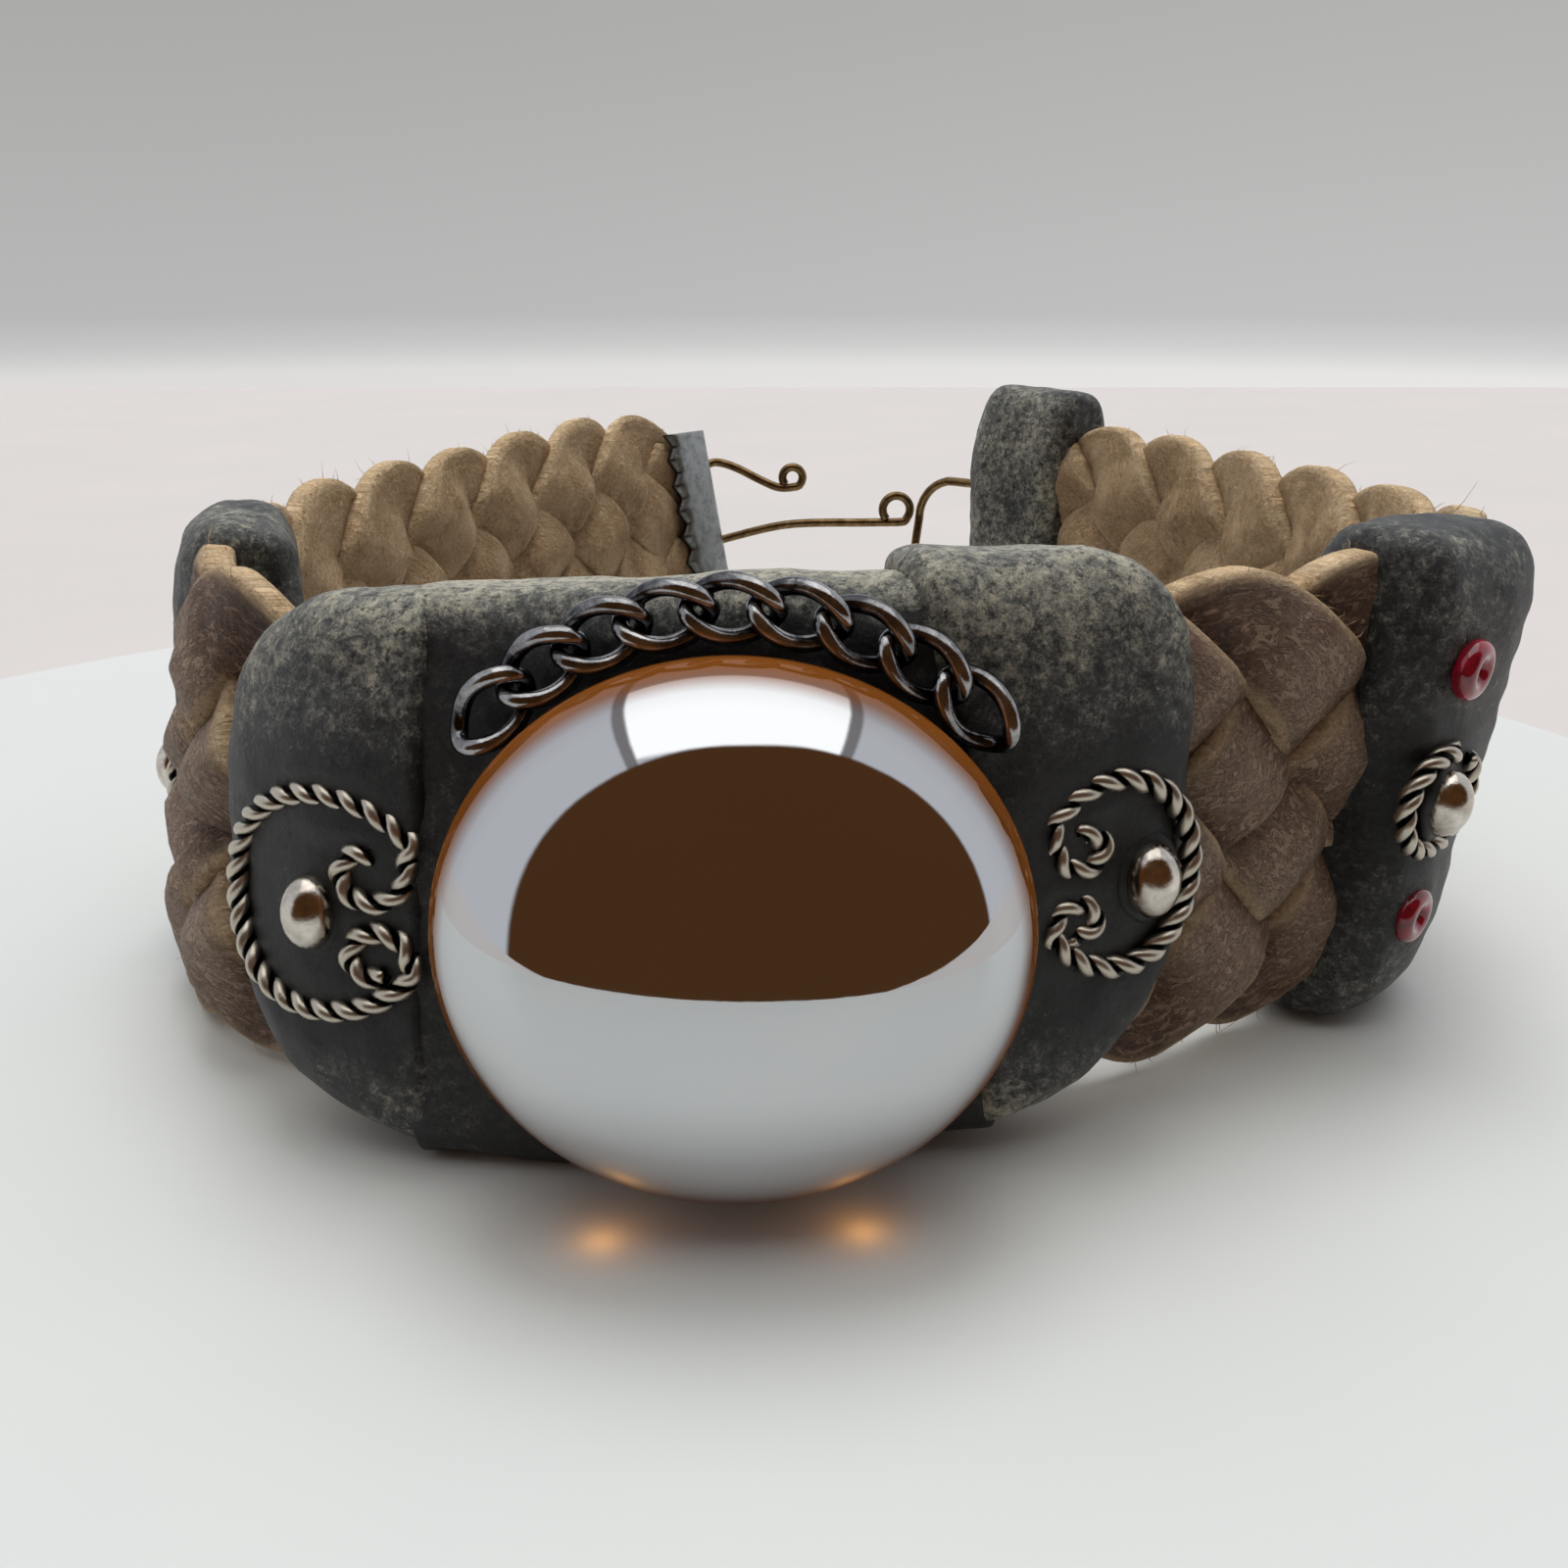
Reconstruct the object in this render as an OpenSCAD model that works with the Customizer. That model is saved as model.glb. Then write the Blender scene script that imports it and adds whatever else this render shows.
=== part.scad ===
// Wrist cuff: a glass cabochon on a clay centre, with two braided leather straps
// that run through clay sleeves to a wire hook-and-eye clasp.
// The cuff stands on its lower edge. The front looks along -Y, the clasp is at the back.

/* [Strap] */
// Height of the braided strap
strap_height = 24; // [23:0.5:25]
// Thickness of the braided strap
strap_thickness = 4.4; // [4:0.1:4.6]
// Free space at each flex line, half of it on either side
flex_gap = 2.2; // [2:0.1:2.6]

/* [Clay] */
// Height of the centre panel
panel_height = 25.6; // [25.4:0.1:26.4]
// Height of the front left sleeve
front_left_height = 25.4; // [25.3:0.1:26.4]
// Height of the front right sleeve
front_right_height = 26.6; // [26.4:0.1:27.2]
// Height of the two rear sleeves
rear_sleeve_height = 26; // [25.5:0.1:26.5]
// How far the clay stands out in front of the strap's middle
clay_front = 4.8; // [4.6:0.1:5]
// How far the clay stands in behind the strap's middle
clay_back = 3.6; // [3.4:0.1:3.8]

/* [Cabochon] */
// Width of the glass cabochon
cabochon_width = 24.2; // [23.5:0.1:24.5]
// Height of the glass cabochon
cabochon_height = 22.4; // [22:0.1:23]
// How far the dome rises above its girdle
dome_rise = 6; // [5:0.5:6.5]
// Height of the straight girdle under the dome
girdle = 1; // [0.8:0.1:1.2]

/* [Trim] */
// Wire thickness of the curb chain
chain_wire = 0.75; // [0.7:0.05:0.8]
// Number of links over the cabochon
chain_links = 9; // [7:1:9]
// Thickness of the twisted rope wire
rope_wire = 1.1; // [1:0.1:1.2]
// Diameter of the studs, which are a little taller than wide
stud_d = 2.8; // [2.6:0.1:3]
// Outer diameter of the seed beads
bead_d = 3; // [2.8:0.1:3.2]

/* [Clasp] */
// Thickness of the bronze clasp wires
clasp_wire = 0.75; // [0.7:0.05:0.85]
// How far the eye stands out of the end cap
eye_reach = 6.8; // [6.2:0.1:7]
// Length of the ribbon crimp along the strap
crimp_length = 5; // [4.8:0.1:5.4]
// Thickness that the crimp presses the strap to
pressed = 2.6; // [2.4:0.1:2.8]

/* [Hidden] */

// Sides: +1 is the right half of the band and -1 the left half
RIGHT = 1;
LEFT = -1;

// Front middle of the band, and its direction to the right there
front = [-3.3, -31.7];
front_turn = 3;

// The band in plan, as arcs from the front middle: length, and turn in degrees
right_arcs = [[9, 5], [10, 20], [13, 13], [9, 24], [12, 37], [28, 17], [16, 26]];
left_arcs = [[12, -8], [10, -38], [14, -24], [10, -27], [10, -25], [45, -12]];

// Outward lean of the band's top, in degrees, at a distance from the front middle
right_lean = [[0, -8], [15, -5], [22, 0], [35, 5], [45, 9], [60, 6], [97, 3]];
left_lean = [[0, -8], [36, -8], [46, -4], [60, 3], [94, 13], [101, 13]];

// Height of the strap's lower edge over the table at a distance from the front middle
right_rise = [[0, 1], [20, 1], [97, 2]];
left_rise = [[0, 1], [12, 0.6], [20, 0], [26, 0], [50, 0.1], [101, 3]];

// Where each piece starts and ends along the band
right_seam = 9.5;
left_seam = 12.3;
front_right_end = 19.5;
front_left_end = 24.2;
rear_right = [30.6, 40];
rear_left = [37, 47];
end_cap_span = [84, 93.2];
right_front_flex = 24.5;
left_front_flex = 30.5;
right_back_flex = 62;
left_back_flex = 70;
left_end = 100;
strap_root = 3;

half_strap = strap_thickness / 2;
half_gap = flex_gap / 2;
fit = 0.05;

// A place and heading after an arc of the given length and turn
function after(from, length, turn) =
    abs(turn) < 0.01
    ? [from[0] + length * cos(from[2]), from[1] + length * sin(from[2]), from[2]]
    : let (r = length / (turn * PI / 180), h = from[2])
      [from[0] + r * (sin(h + turn) - sin(h)), from[1] + r * (cos(h) - cos(h + turn)), h + turn];

// The place and heading at distance s along a list of arcs
function along(arcs, s, from, i = 0) =
    s <= arcs[i][0] || i == len(arcs) - 1
    ? after(from, s, arcs[i][1] * s / arcs[i][0])
    : along(arcs, s - arcs[i][0], after(from, arcs[i][0], arcs[i][1]), i + 1);

function plan(side, s) =
    side > 0
    ? along(right_arcs, s, [front[0], front[1], front_turn])
    : along(left_arcs, s, [front[0], front[1], 180 + front_turn]);

function lean(side, s) = lookup(s, side > 0 ? right_lean : left_lean);
function rise(side, s) = lookup(s, side > 0 ? right_rise : left_rise);

// Unit vectors at a place on the band: outwards, and up the strap's face
function outward(side, s) =
    let (h = plan(side, s)[2], a = lean(side, s))
    [side * sin(h) * cos(a), -side * cos(h) * cos(a), -sin(a)];
function upward(side, s) =
    let (h = plan(side, s)[2], a = lean(side, s))
    [side * sin(h) * sin(a), -side * cos(h) * sin(a), cos(a)];

// The point at distance s along the band, t outside its middle and w up its face
function spot(side, s, t, w) =
    let (p = plan(side, s))
    [p[0], p[1], rise(side, s)] + t * outward(side, s) + w * upward(side, s);

function unit(v) = v / norm(v);
function power(x, e) = sign(x) * pow(abs(x), e);

// A ring in the band's cross-section: pillow-shaped, or nearly square at a low roundness
function ring(side, s, t_in, t_out, w_low, w_high, roundness, count = 24) = [
    for (k = [0:count - 1])
        let (a = 360 * (k + 0.5) / count)
        spot(side, s,
            (t_in + t_out) / 2 + (t_out - t_in) / 2 * power(cos(a), roundness),
            (w_low + w_high) / 2 + (w_high - w_low) / 2 * power(sin(a), roundness * 0.6))
];

// A closed skin over rings that run from the left to the right of the band
module loft(rings) {
    n = len(rings[0]);
    m = len(rings);
    skin = [
        for (i = [0:m - 2], j = [0:n - 1])
            [i * n + j, i * n + (j + 1) % n, (i + 1) * n + (j + 1) % n, (i + 1) * n + j]
    ];
    first = [for (j = [n - 1:-1:0]) j];
    last = [for (j = [0:n - 1]) (m - 1) * n + j];
    polyhedron([for (r = rings) each r], concat([first], skin, [last]), convexity = 8);
}

// Distances along the band from one place to another, always from left to right
function stations(side, from, to, count) = [
    for (i = [0:count]) let (u = side > 0 ? i / count : 1 - i / count) from + (to - from) * u
];

// How far a rounded corner has dropped, x of the way into its radius
function drop(x, radius) = let (u = max(0, min(1, x))) radius * (1 - sqrt(1 - u * u * 0.98));

// Half the strap's thickness, which the crimp presses thinner at the left end
function half_thick(side, s) =
    side > 0 ? half_strap : lookup(s, [[left_end - 12, half_strap], [left_end - crimp_length, pressed / 2]]);

// A length of strap between two places along the band
module strap(side, from, to, count) {
    color("saddlebrown")
        loft([
            for (s = stations(side, from, to, count))
                let (half = half_thick(side, s))
                ring(side, s, -half, half, 0, strap_height, 0.45, 16)
        ]);
}

// The space that the strap takes inside a clay sleeve
module strap_space(side, from, to) {
    loft([
        for (s = stations(side, from, to, 8))
            ring(side, s, -half_strap - fit, half_strap + fit, -fit, strap_height + fit, 0.45, 16)
    ]);
}

// Everything under the table top, which the clay is flattened against
module below_table() {
    translate([-100, -100, -50])
        cube([200, 200, 50]);
}

// Thickness share of a clay pillow at x along it, from 0 to 1, with soft rims
function swell(x, rim) = 1 - rim * pow(abs(2 * x - 1), 3);

// A front sleeve: thick at the centre seam, with the outer corners rounded off
module front_sleeve(side, seam, end, height, bottom, low_corner, high_corner) {
    length = end - seam;
    difference() {
        loft([
            for (s = stations(side, seam, end, 12))
                let (
                    x = (s - seam) / length,
                    thick = swell(x * 0.5 + 0.5, 0.22),
                    low = drop(1 - (end - s) / low_corner, low_corner),
                    high = drop(1 - (end - s) / high_corner, high_corner)
                )
                ring(side, s, -clay_back * thick, clay_front * thick,
                    low + bottom, height - 1 - high, 0.55)
        ]);
        strap_space(side, seam + strap_root, end + 1);
        below_table();
    }
}

// How far a rear sleeve stands out: the left one is pressed flatter
function rear_clay(side) = side > 0 ? clay_front : clay_front - 1.5;

// A rear sleeve: a band of clay wrapped round the strap
module rear_sleeve(side, span) {
    difference() {
        loft([
            for (s = stations(side, span[0], span[1], 10))
                let (thick = swell((s - span[0]) / (span[1] - span[0]), 0.2))
                ring(side, s, -clay_back * thick, rear_clay(side) * thick,
                    -0.5 - 0.3 * thick, rear_sleeve_height * (0.97 + 0.03 * thick) - 1, 0.6)
        ]);
        strap_space(side, span[0] - 1, span[1] + 1);
        below_table();
    }
}

// A round wire along points; facing is a direction that the wire never runs along
module wire(points, d, facing, sides = 8, closed = false) {
    m = len(points);
    rings = [
        for (i = [0:m - 1])
            let (
                before = closed ? points[(i + m - 1) % m] : points[max(0, i - 1)],
                next = closed ? points[(i + 1) % m] : points[min(m - 1, i + 1)],
                run = unit(next - before),
                u = unit(cross(run, facing)),
                v = cross(run, u)
            )
            [for (k = [0:sides - 1]) let (a = 360 * k / sides) points[i] + d / 2 * (cos(a) * u + sin(a) * v)]
    ];
    skin = [
        for (i = [0:(closed ? m - 1 : m - 2)], j = [0:sides - 1])
            let (here = i * sides, there = ((i + 1) % m) * sides, k = (j + 1) % sides)
            [here + j, there + j, there + k, here + k]
    ];
    first = [for (j = [0:sides - 1]) j];
    last = [for (j = [sides - 1:-1:0]) (m - 1) * sides + j];
    polyhedron([for (r = rings) each r], closed ? skin : concat([first], skin, [last]), convexity = 8);
}

// Points of a spiral in the band's face: centre, radii and angles at its two ends
function spiral(centre, radius, angle, count, stretch = 1) = [
    for (i = [0:count])
        let (
            u = i / count,
            r = radius[0] + (radius[1] - radius[0]) * u,
            a = angle[0] + (angle[1] - angle[0]) * u
        )
        [centre[0] + r * cos(a), centre[1] + r * stretch * sin(a)]
];

// A rope of twisted wire that follows points in the band's face
module rope(side, route, t, at) {
    color("dimgray")
        wire([for (p = route) spot(side, p[0], t, p[1])], rope_wire, outward(side, at), 6);
}

// A scroll: a ring open towards the seam, with both of its ends curled up inside it
function scroll(at, size, stretch) = concat(
    spiral([at[0] - size * 0.45, at[1] + size * 0.32 * stretch], [size * 0.2, size * 0.34], [440, 165], 14),
    spiral(at, [size, size], [146, -144], 30, stretch),
    spiral([at[0] - size * 0.5, at[1] - size * 0.46 * stretch], [size * 0.28, size * 0.2], [185, -90], 12)
);

module stud(side, s, w, t) {
    color("silver")
        on_face(side, s, t, w)
            scale([0.9, 1.22, 0.9])
                sphere(d = stud_d, $fn = 48);
}

// Turns a piece so that its Z runs outwards from the band's face and its Y up it
module on_face(side, s, t, w) {
    n = outward(side, s);
    translate(spot(side, s, t, w))
        rotate([0, 0, atan2(n[1], n[0]) + 90])
            rotate([90 - asin(n[2]), 0, 0])
                children();
}

// A seed bead that lies flat on the clay, hole outwards
module bead(side, s, w, t) {
    tube = bead_d * 0.19;
    color("crimson")
        on_face(side, s, t, w)
            rotate_extrude($fn = 40)
                translate([bead_d / 2 - tube, 0])
                    circle(d = 2 * tube, $fn = 20);
}

// The cabochon's own frame: its back at the origin, its dome along +Z
cabochon_at = [front[0], front[1] - 4.8, 12.4];
cabochon_lean = 8;

module on_cabochon() {
    translate(cabochon_at)
        rotate([90 - cabochon_lean, 0, 0])
            children();
}

bed_depth = 2.1;
module cabochon_bed() {
    color("#2b2b2a")
        on_cabochon()
            translate([0, 0, -bed_depth])
                scale([1, cabochon_height / cabochon_width, 1])
                    cylinder(d1 = cabochon_width * 0.93, d2 = cabochon_width * 0.86, h = bed_depth, $fn = 48);
}

module glass_cabochon() {
    dome_steps = 12;
    profile = concat(
        [[0, 0], [cabochon_width / 2 - 0.5, 0], [cabochon_width / 2, 0.5]],
        [
            for (i = [0:dome_steps - 1])
                let (a = 90 * i / dome_steps)
                [cabochon_width / 2 * cos(a), girdle + dome_rise * sin(a)]
        ],
        [[0, girdle + dome_rise]]
    );
    color("sienna")
        on_cabochon()
            scale([1, cabochon_height / cabochon_width, 1])
                rotate_extrude($fn = 120)
                    polygon(profile);
}

// How low the centre panel reaches on either side of its middle
panel_low = [[-left_seam, -0.7], [-6, -1.6], [1.5, -1.6], [right_seam, -0.5]];
module centre_panel() {
    rows = concat(
        [for (s = stations(LEFT, 0, left_seam, 5)) [LEFT, s]],
        [for (s = stations(RIGHT, 1.5, right_seam, 4)) [RIGHT, s]]
    );
    color("dimgray")
        difference() {
            loft([
                for (r = rows)
                    let (low = lookup(r[0] * r[1], panel_low))
                    ring(r[0], r[1], -clay_back * 0.95, clay_front * 0.95, low, panel_height - 1, 0.5)
            ]);
            below_table();
        }
}

// One link of curb chain, twisted so that its two ends hold neighbours at right angles
module link(d, length, width) {
    steps = 16;
    wire([
        for (i = [0:steps - 1])
            let (a = 360 * i / steps, twist = 45 * cos(a), y = (width - d) / 2 * sin(a))
            [(length - d) / 2 * cos(a), y * cos(twist), y * sin(twist)]
    ], d, [0, 0, 1], 6, true);
}

chain_radius = 13.3;
chain_pitch = 2.75;
chain_out = -0.65;
chain_sag = 0.45;
chain_play = 0.16;
module curb_chain() {
    step = chain_pitch / chain_radius * 180 / PI;
    color("#4a4a4f")
        on_cabochon()
            for (i = [0:chain_links - 1])
                let (a = 90 - step * (i - (chain_links - 1) / 2))
                rotate([0, 0, a])
                    translate([chain_radius - chain_sag * pow(sin(a), 2), 0, chain_out])
                        rotate([0, 0, 90])
                            link(chain_wire, chain_pitch + 2 * chain_wire + chain_play, 3);
}

module front_left_sleeve() {
    color("dimgray") front_sleeve(LEFT, left_seam, front_left_end, front_left_height, -1, 15, 7);
}
module front_right_sleeve() {
    color("dimgray") front_sleeve(RIGHT, right_seam, front_right_end, front_right_height, -0.6, 12, 6);
}
module rear_left_sleeve() {
    color("dimgray") rear_sleeve(LEFT, rear_left);
}
module rear_right_sleeve() {
    color("dimgray") rear_sleeve(RIGHT, rear_right);
}

// Scroll centres on the front sleeves and on the rear sleeves: along the band, and up it
left_scroll = [16.9, 11.2];
right_scroll = [15.3, 11.8];
function rear_scroll_w(side) = side > 0 ? 12.4 : 9.8;
front_trim_t = clay_front * 0.97;

module front_left_rope() rope(LEFT, scroll(left_scroll, 4.7, 1.03), front_trim_t, left_scroll[0]);
module front_right_rope() rope(RIGHT, scroll(right_scroll, 3.4, 1.25), front_trim_t, right_scroll[0]);
module rear_left_rope() rear_rope(LEFT, rear_left);
module rear_right_rope() rear_rope(RIGHT, rear_right);
module rear_rope(side, span) {
    middle = trim_at(side, span);
    rope(side, spiral([middle, rear_scroll_w(side)], [2.5, 2.5], [80, 410], 22), rear_clay(side), middle);
}

module front_left_stud() stud(LEFT, 17.2, 10.8, front_trim_t + 0.1);
module front_right_stud() stud(RIGHT, 16.6, 11.5, front_trim_t + 0.1);
module rear_left_stud() rear_stud(LEFT, rear_left);
module rear_right_stud() rear_stud(RIGHT, rear_right);
module rear_stud(side, span) stud(side, trim_at(side, span), rear_scroll_w(side), rear_clay(side) + 0.3);

// Where the trim sits along a rear sleeve
function trim_at(side, span) = (span[0] + span[1]) / 2 + (side > 0 ? -2.3 : 0.5);

upper_bead_w = 19;
lower_bead_w = 6;
module rear_bead(side, span, w)
    bead(side, trim_at(side, span) + (side > 0 ? 0.3 : 2.6), w, rear_clay(side) - 0.1);
module rear_left_upper_bead() rear_bead(LEFT, rear_left, upper_bead_w);
module rear_left_lower_bead() rear_bead(LEFT, rear_left, lower_bead_w);
module rear_right_upper_bead() rear_bead(RIGHT, rear_right, upper_bead_w);
module rear_right_lower_bead() rear_bead(RIGHT, rear_right, lower_bead_w);

module left_strap_front() strap(LEFT, left_seam + strap_root, left_front_flex - half_gap, 8);
module right_strap_front() strap(RIGHT, right_seam + strap_root, right_front_flex - half_gap, 8);
module left_strap_side() strap(LEFT, left_front_flex + half_gap, left_back_flex - half_gap, 20);
module right_strap_side() strap(RIGHT, right_front_flex + half_gap, right_back_flex - half_gap, 20);
module left_strap_end() strap(LEFT, left_back_flex + half_gap, left_end - crimp_web - head_room, 10);
module right_strap_end() strap(RIGHT, right_back_flex + half_gap, end_cap_span[1] - 2.5, 12);

module end_cap() {
    length = end_cap_span[1] - end_cap_span[0];
    color("dimgray")
        difference() {
            loft([
                for (s = stations(RIGHT, end_cap_span[0], end_cap_span[1], 12))
                    let (x = (s - end_cap_span[0]) / length, thick = swell(x, 0.22), corner = drop(4 * x - 3, 3))
                    ring(RIGHT, s, -clay_back * thick, clay_back * thick,
                        corner - 1.5, strap_height + 2.2 - corner, 0.6)
            ]);
            strap_space(RIGHT, end_cap_span[0] - 1, end_cap_span[1] - 2.5);
        }
}

// The ribbon crimp: a strip folded over the strap's end, with teeth at its free edges
crimp_sheet = 0.5;
crimp_web = 0.6;
crimp_play = 0.15;
crimp_teeth = 9;
crimp_low = 1;
crimp_tall = strap_height - 4.2;
upper_hook_w = 17.6;
lower_hook_w = 11;
hook_hole_r = 0.7;
hook_head_d = 1.8;
head_room = 2.4;

module crimp_frame() {
    on_face(LEFT, left_end, 0, 0)
        children();
}

module ribbon_crimp() {
    outer = pressed + 2 * crimp_sheet + 2 * crimp_play;
    pitch = crimp_tall / crimp_teeth;
    color("gray")
        crimp_frame()
            difference() {
                translate([0, crimp_low, -outer / 2])
                    cube([crimp_length, crimp_tall, outer]);
                translate([crimp_web, 0, -outer / 2 + crimp_sheet])
                    cube([crimp_length, strap_height, outer - 2 * crimp_sheet]);
                for (i = [0:crimp_teeth - 1])
                    translate([crimp_length, crimp_low + pitch * (i + 0.5), -outer])
                        rotate([0, 0, 45])
                            translate([-0.45, -0.45, 0])
                                cube([0.9, 0.9, 2 * outer]);
                for (w = [upper_hook_w, lower_hook_w])
                    translate([-1, w, 0])
                        rotate([0, 90, 0])
                            cylinder(r = hook_hole_r, h = 3, $fn = 32);
            }
}

// A hook: a headed wire through the crimp's fold, ending in a curl
module hook(w, route, curl_at, curl_r, turns) {
    start = spot(LEFT, left_end, 0, w);
    inside = start - (crimp_web + head_room / 2 - 0.1) * side_run(LEFT, left_end);
    curl = [
        for (i = [1:turns])
            let (a = -90 + 24 * i)
            curl_at + [curl_r * cos(a), 0, curl_r * sin(a)]
    ];
    color("darkgoldenrod") {
        wire(concat([inside, start], route, curl), clasp_wire, [0, 1, 0]);
        translate(inside)
            sphere(d = hook_head_d, $fn = 32);
    }
}

// The band's own direction, away from the front middle
function side_run(side, s) = let (h = plan(side, s)[2]) [cos(h), sin(h), 0];

module upper_hook() {
    p = spot(LEFT, left_end, 0, upper_hook_w);
    hook(upper_hook_w,
        [p + [1.4, 0.9, 0.5], p + [3.2, 0.7, 0.1], p + [5.6, 0.2, -1], p + [7.2, 0, -1.6]],
        p + [8.4, 0, -0.7], 0.9, 13);
}

module lower_hook() {
    p = spot(LEFT, left_end, 0, lower_hook_w);
    hook(lower_hook_w,
        [p + [1.6, 0.6, 0.4], p + [7, -0.6, 1.8], p + [14, -2, 2.2]],
        p + [16.4, -2.3, 3.4], 1.2, 13);
}

module eye_wire() {
    run = side_run(RIGHT, end_cap_span[1]);
    top = 17.8;
    bottom = 7.4;
    corner = 3.6;
    root = 2;
    flat = [for (w = [top, bottom]) spot(RIGHT, end_cap_span[1], 0, w)];
    out = eye_reach - corner;
    bend = [for (i = [0:4]) let (a = 90 - 90 * i / 4) [out + corner * cos(a), corner * (sin(a) - 1)]];
    route = concat(
        [flat[0] - root * run],
        [for (b = bend) flat[0] + b[0] * run + [0, 0, b[1]]],
        [for (i = [4:-1:0]) flat[1] + bend[i][0] * run - [0, 0, bend[i][1]]],
        [flat[1] - root * run]
    );
    color("darkgoldenrod")
        wire(route, clasp_wire, cross(run, [0, 0, 1]));
}

centre_panel();
cabochon_bed();
glass_cabochon();
curb_chain();
front_left_sleeve();
front_right_sleeve();
front_left_rope();
front_right_rope();
front_left_stud();
front_right_stud();
left_strap_front();
right_strap_front();
left_strap_side();
rear_left_sleeve();
rear_left_rope();
rear_left_stud();
rear_left_upper_bead();
rear_left_lower_bead();
right_strap_side();
rear_right_sleeve();
rear_right_rope();
rear_right_stud();
rear_right_upper_bead();
rear_right_lower_bead();
left_strap_end();
ribbon_crimp();
right_strap_end();
end_cap();
eye_wire();
upper_hook();
lower_hook();
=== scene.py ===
import math

import bpy
import numpy as np
from mathutils import Euler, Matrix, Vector


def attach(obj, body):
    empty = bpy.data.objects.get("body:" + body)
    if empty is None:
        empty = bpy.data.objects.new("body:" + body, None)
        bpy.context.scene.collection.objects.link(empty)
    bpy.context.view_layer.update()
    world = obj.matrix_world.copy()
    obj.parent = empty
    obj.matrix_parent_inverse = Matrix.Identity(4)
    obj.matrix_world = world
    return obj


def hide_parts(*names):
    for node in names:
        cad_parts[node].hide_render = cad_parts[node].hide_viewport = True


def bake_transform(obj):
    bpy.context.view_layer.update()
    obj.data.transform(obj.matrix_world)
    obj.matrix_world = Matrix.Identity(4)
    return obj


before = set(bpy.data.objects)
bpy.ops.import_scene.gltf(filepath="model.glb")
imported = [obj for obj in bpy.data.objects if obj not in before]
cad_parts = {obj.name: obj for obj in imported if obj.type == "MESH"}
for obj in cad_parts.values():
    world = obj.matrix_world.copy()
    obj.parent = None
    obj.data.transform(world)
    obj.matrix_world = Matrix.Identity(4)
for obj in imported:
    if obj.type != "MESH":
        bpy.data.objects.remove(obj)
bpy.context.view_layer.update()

# Every size and place in this script is in millimetres until a mesh is made
MM = 0.001
TAU = 2 * math.pi
RIGHT, LEFT = 1, -1


CAMERA_AT = (-1.3, -89.7, 38)
CAMERA_DOWN = 20
CAMERA_LENS, CAMERA_SENSOR = 33.28, 36


def make_camera():
    """The camera stands close in front of the cuff and looks down on it."""
    data = bpy.data.cameras.new("camera")
    data.lens = CAMERA_LENS
    data.sensor_width = CAMERA_SENSOR
    data.clip_start, data.clip_end = 0.001, 20
    camera = bpy.data.objects.new("camera", data)
    camera.location = Vector(CAMERA_AT) * MM
    camera.rotation_euler = Euler((math.radians(90 - CAMERA_DOWN), 0, 0))
    bpy.context.scene.collection.objects.link(camera)
    bpy.context.scene.camera = camera


make_camera()

# ---------------------------------------------------------------- the band

# The front middle of the band, and its heading there in degrees
FRONT = (-3.3, -31.7)
FRONT_TURN = 3
# From the front middle outwards, each side's arcs: length and turn in degrees
ARCS = {
    RIGHT: [(9, 5), (10, 20), (13, 13), (9, 24), (12, 37), (28, 17), (16, 26)],
    LEFT: [(12, -8), (10, -38), (14, -24), (10, -27), (10, -25), (45, -12)],
}
# Pairs of distance along the band and value: the lean in degrees, and the lower edge above the table
LEAN = {
    RIGHT: [(0, -8), (15, -5), (22, 0), (35, 5), (45, 9), (60, 6), (97, 3)],
    LEFT: [(0, -8), (36, -8), (46, -4), (60, 3), (94, 13), (101, 13)],
}
RISE = {
    RIGHT: [(0, 1), (20, 1), (97, 2)],
    LEFT: [(0, 1), (12, 0.6), (20, 0), (26, 0), (50, 0.1), (101, 3)],
}

STRAP_HEIGHT = 24
HALF_STRAP = 2.2
# How far the clay stands outside and inside the band's middle
CLAY_FRONT = 4.8
CLAY_BACK = 3.6
PANEL_HEIGHT = 25.6
# Pairs of distance along the band and the panel's lower edge
PANEL_LOW = {RIGHT: [(1.5, -1.6), (9.5, -0.5)], LEFT: [(6, -1.6), (12.3, -0.7)]}
FRONT_HEIGHT = {RIGHT: 26.6, LEFT: 25.4}
REAR_SLEEVE_HEIGHT = 26
# Distances along the band at which pieces start and end
SEAM = {RIGHT: 9.5, LEFT: 12.3}
FRONT_END = {RIGHT: 19.5, LEFT: 24.2}
REAR = {RIGHT: (30.6, 40), LEFT: (37, 47)}
END_CAP = (84, 93.2)
LEFT_END = 100
CRIMP_LENGTH = 5
# The strap bends between these distances
FRONT_BEND = {RIGHT: (20, 29), LEFT: (24.5, 36.5)}
BACK_BEND = {RIGHT: (51, 73), LEFT: (59, 81)}
REAR_CLAY = {RIGHT: CLAY_FRONT, LEFT: CLAY_FRONT - 1.5}
BODY = {RIGHT: "right", LEFT: "left"}


def arc_starts(side):
    """For each arc of a side: distance, x, y and heading at its start, and its curvature."""
    x, y = FRONT
    heading = math.radians(FRONT_TURN + (0 if side > 0 else 180))
    rows, s = [], 0
    for length, turn in ARCS[side]:
        turn = math.radians(turn)
        rows.append((s, x, y, heading, turn / length))
        r = length / turn
        x += r * (math.sin(heading + turn) - math.sin(heading))
        y += r * (math.cos(heading) - math.cos(heading + turn))
        heading += turn
        s += length
    return np.array(rows)


STARTS = {side: arc_starts(side) for side in (RIGHT, LEFT)}


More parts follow.
